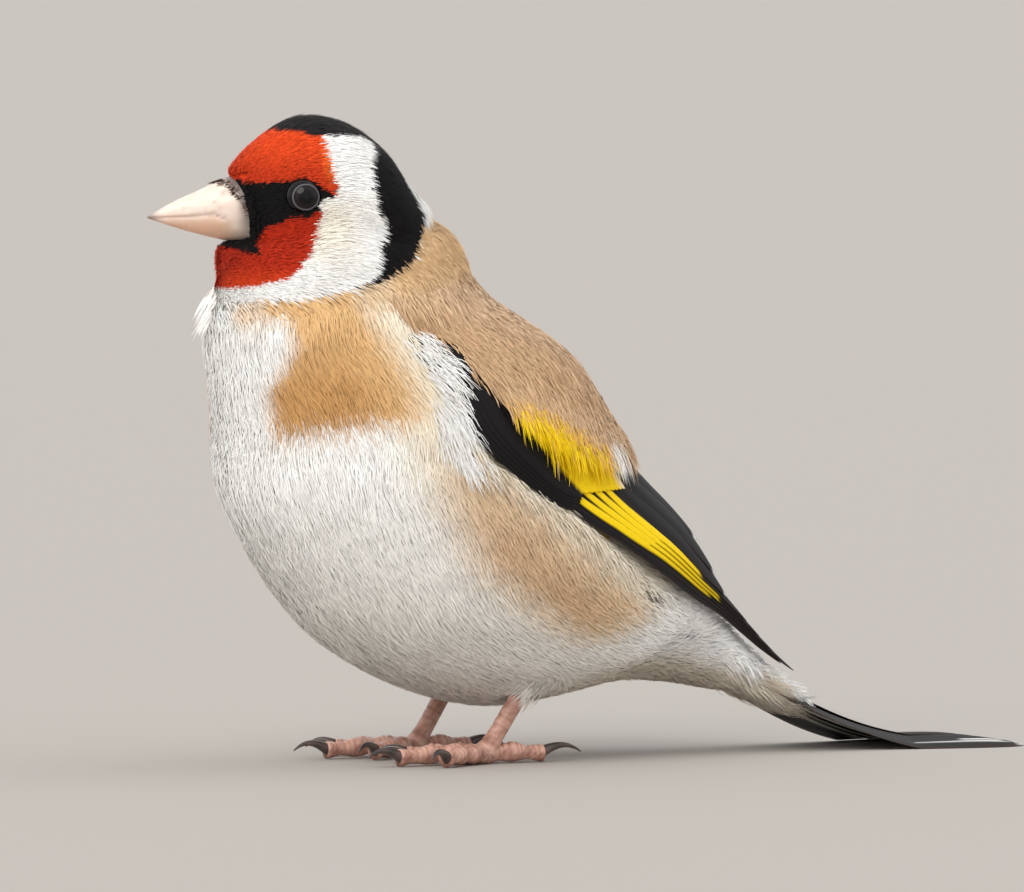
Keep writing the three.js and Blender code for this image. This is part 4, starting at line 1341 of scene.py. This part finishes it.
def leg_piece(label, tubes, slot, material):
    """One piece of painted tubes, cut off level with the floor."""
    points, faces = join([tube[:2] for tube in tubes])
    points[:, 2] = np.maximum(points[:, 2], 0.0)
    return make_mesh(label, points, faces, slot, material, np.vstack([tube[2] for tube in tubes]))


def make_leg(side, name):
    """A lower leg with its toes, and its claws as a piece of their own."""
    toes = [make_toe(side, degrees, length) for _, degrees, length, _ in TOES]
    skin = leg_piece(f"leg_skin_{name}", [shank(side), *toes], "leg_skin", LEG)
    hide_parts(f"leg_{name}")
    tubes = [make_claw(side, *sizes) for _, *sizes in TOES]
    claws = leg_piece(f"claws_{name}", tubes, "claws", CLAW)
    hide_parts(*(f"claw_{name}_{toe}" for toe, *_ in TOES))


for side, name in SIDES:
    make_leg(side, name)

# Studio
FLOOR_RADIUS = 30
FLOOR_COLOUR = (0.405, 0.372, 0.338, 1)
SKY_COLOUR = (0.97, 0.98, 1.0, 1)
SKY_STRENGTH = 0.98


def make_floor():
    """A plain round floor, which is not part of the bird."""
    mesh = bpy.data.meshes.new("floor")
    shape = bmesh.new()
    bmesh.ops.create_circle(shape, cap_ends=True, segments=96, radius=FLOOR_RADIUS)
    shape.to_mesh(mesh)
    floor = bpy.data.objects.new("floor", mesh)
    bpy.context.scene.collection.objects.link(floor)
    material = bpy.data.materials.new("studio_floor")
    material.use_nodes = True
    shader = material.node_tree.nodes["Principled BSDF"]
    shader.inputs["Base Color"].default_value = FLOOR_COLOUR
    shader.inputs["Roughness"].default_value = 0.9
    mesh.materials.append(material)


def make_light(name, towards, power, spread, colour):
    """A soft, even light from far off; towards is the direction to it."""
    data = bpy.data.lights.new(name, "SUN")
    data.energy = power
    data.angle = radians(spread)
    data.color = colour
    lamp = bpy.data.objects.new(name, data)
    bpy.context.scene.collection.objects.link(lamp)
    lamp.rotation_euler = towards.to_track_quat("Z", "Y").to_euler()


make_floor()
world = bpy.data.worlds.new("studio")
bpy.context.scene.world = world
world.use_nodes = True
sky = world.node_tree.nodes["Background"]
sky.inputs["Color"].default_value = SKY_COLOUR
sky.inputs["Strength"].default_value = SKY_STRENGTH
bpy.context.scene.view_settings.view_transform = "Standard"

azimuth, elevation = radians(CAMERA_ANGLE), radians(CAMERA_HEIGHT)
view_right = Vector((cos(azimuth), sin(azimuth), 0))
view_back = Vector((sin(azimuth) * cos(elevation), -cos(azimuth) * cos(elevation), sin(elevation)))
view_up = view_back.cross(view_right)
TARGET = (view_right * 7.27 + view_up * 35.7 + Vector(SHIFT)) * MM
CAMERA_DISTANCE = 2.0
make_light("key", view_right * -0.4 + view_up * 0.7 + view_back * 0.8, 1.55, 40, (1, 0.985, 0.955))
make_light("rim", view_right * 0.6 + view_up * 0.8 - view_back * 0.3, 0.4, 50, (1, 1, 1))

camera_data = bpy.data.cameras.new("camera")
camera = bpy.data.objects.new("camera", camera_data)
bpy.context.scene.collection.objects.link(camera)
camera_data.sensor_width = 36
camera_data.lens = 36 * CAMERA_DISTANCE / (PHOTO_SIZE[0] / PHOTO_SCALE * MM)
camera_data.clip_start = 0.05
camera_data.clip_end = 100
camera.location = TARGET + view_back * CAMERA_DISTANCE
camera.rotation_euler = view_back.to_track_quat("Z", "Y").to_euler()
bpy.context.scene.camera = camera
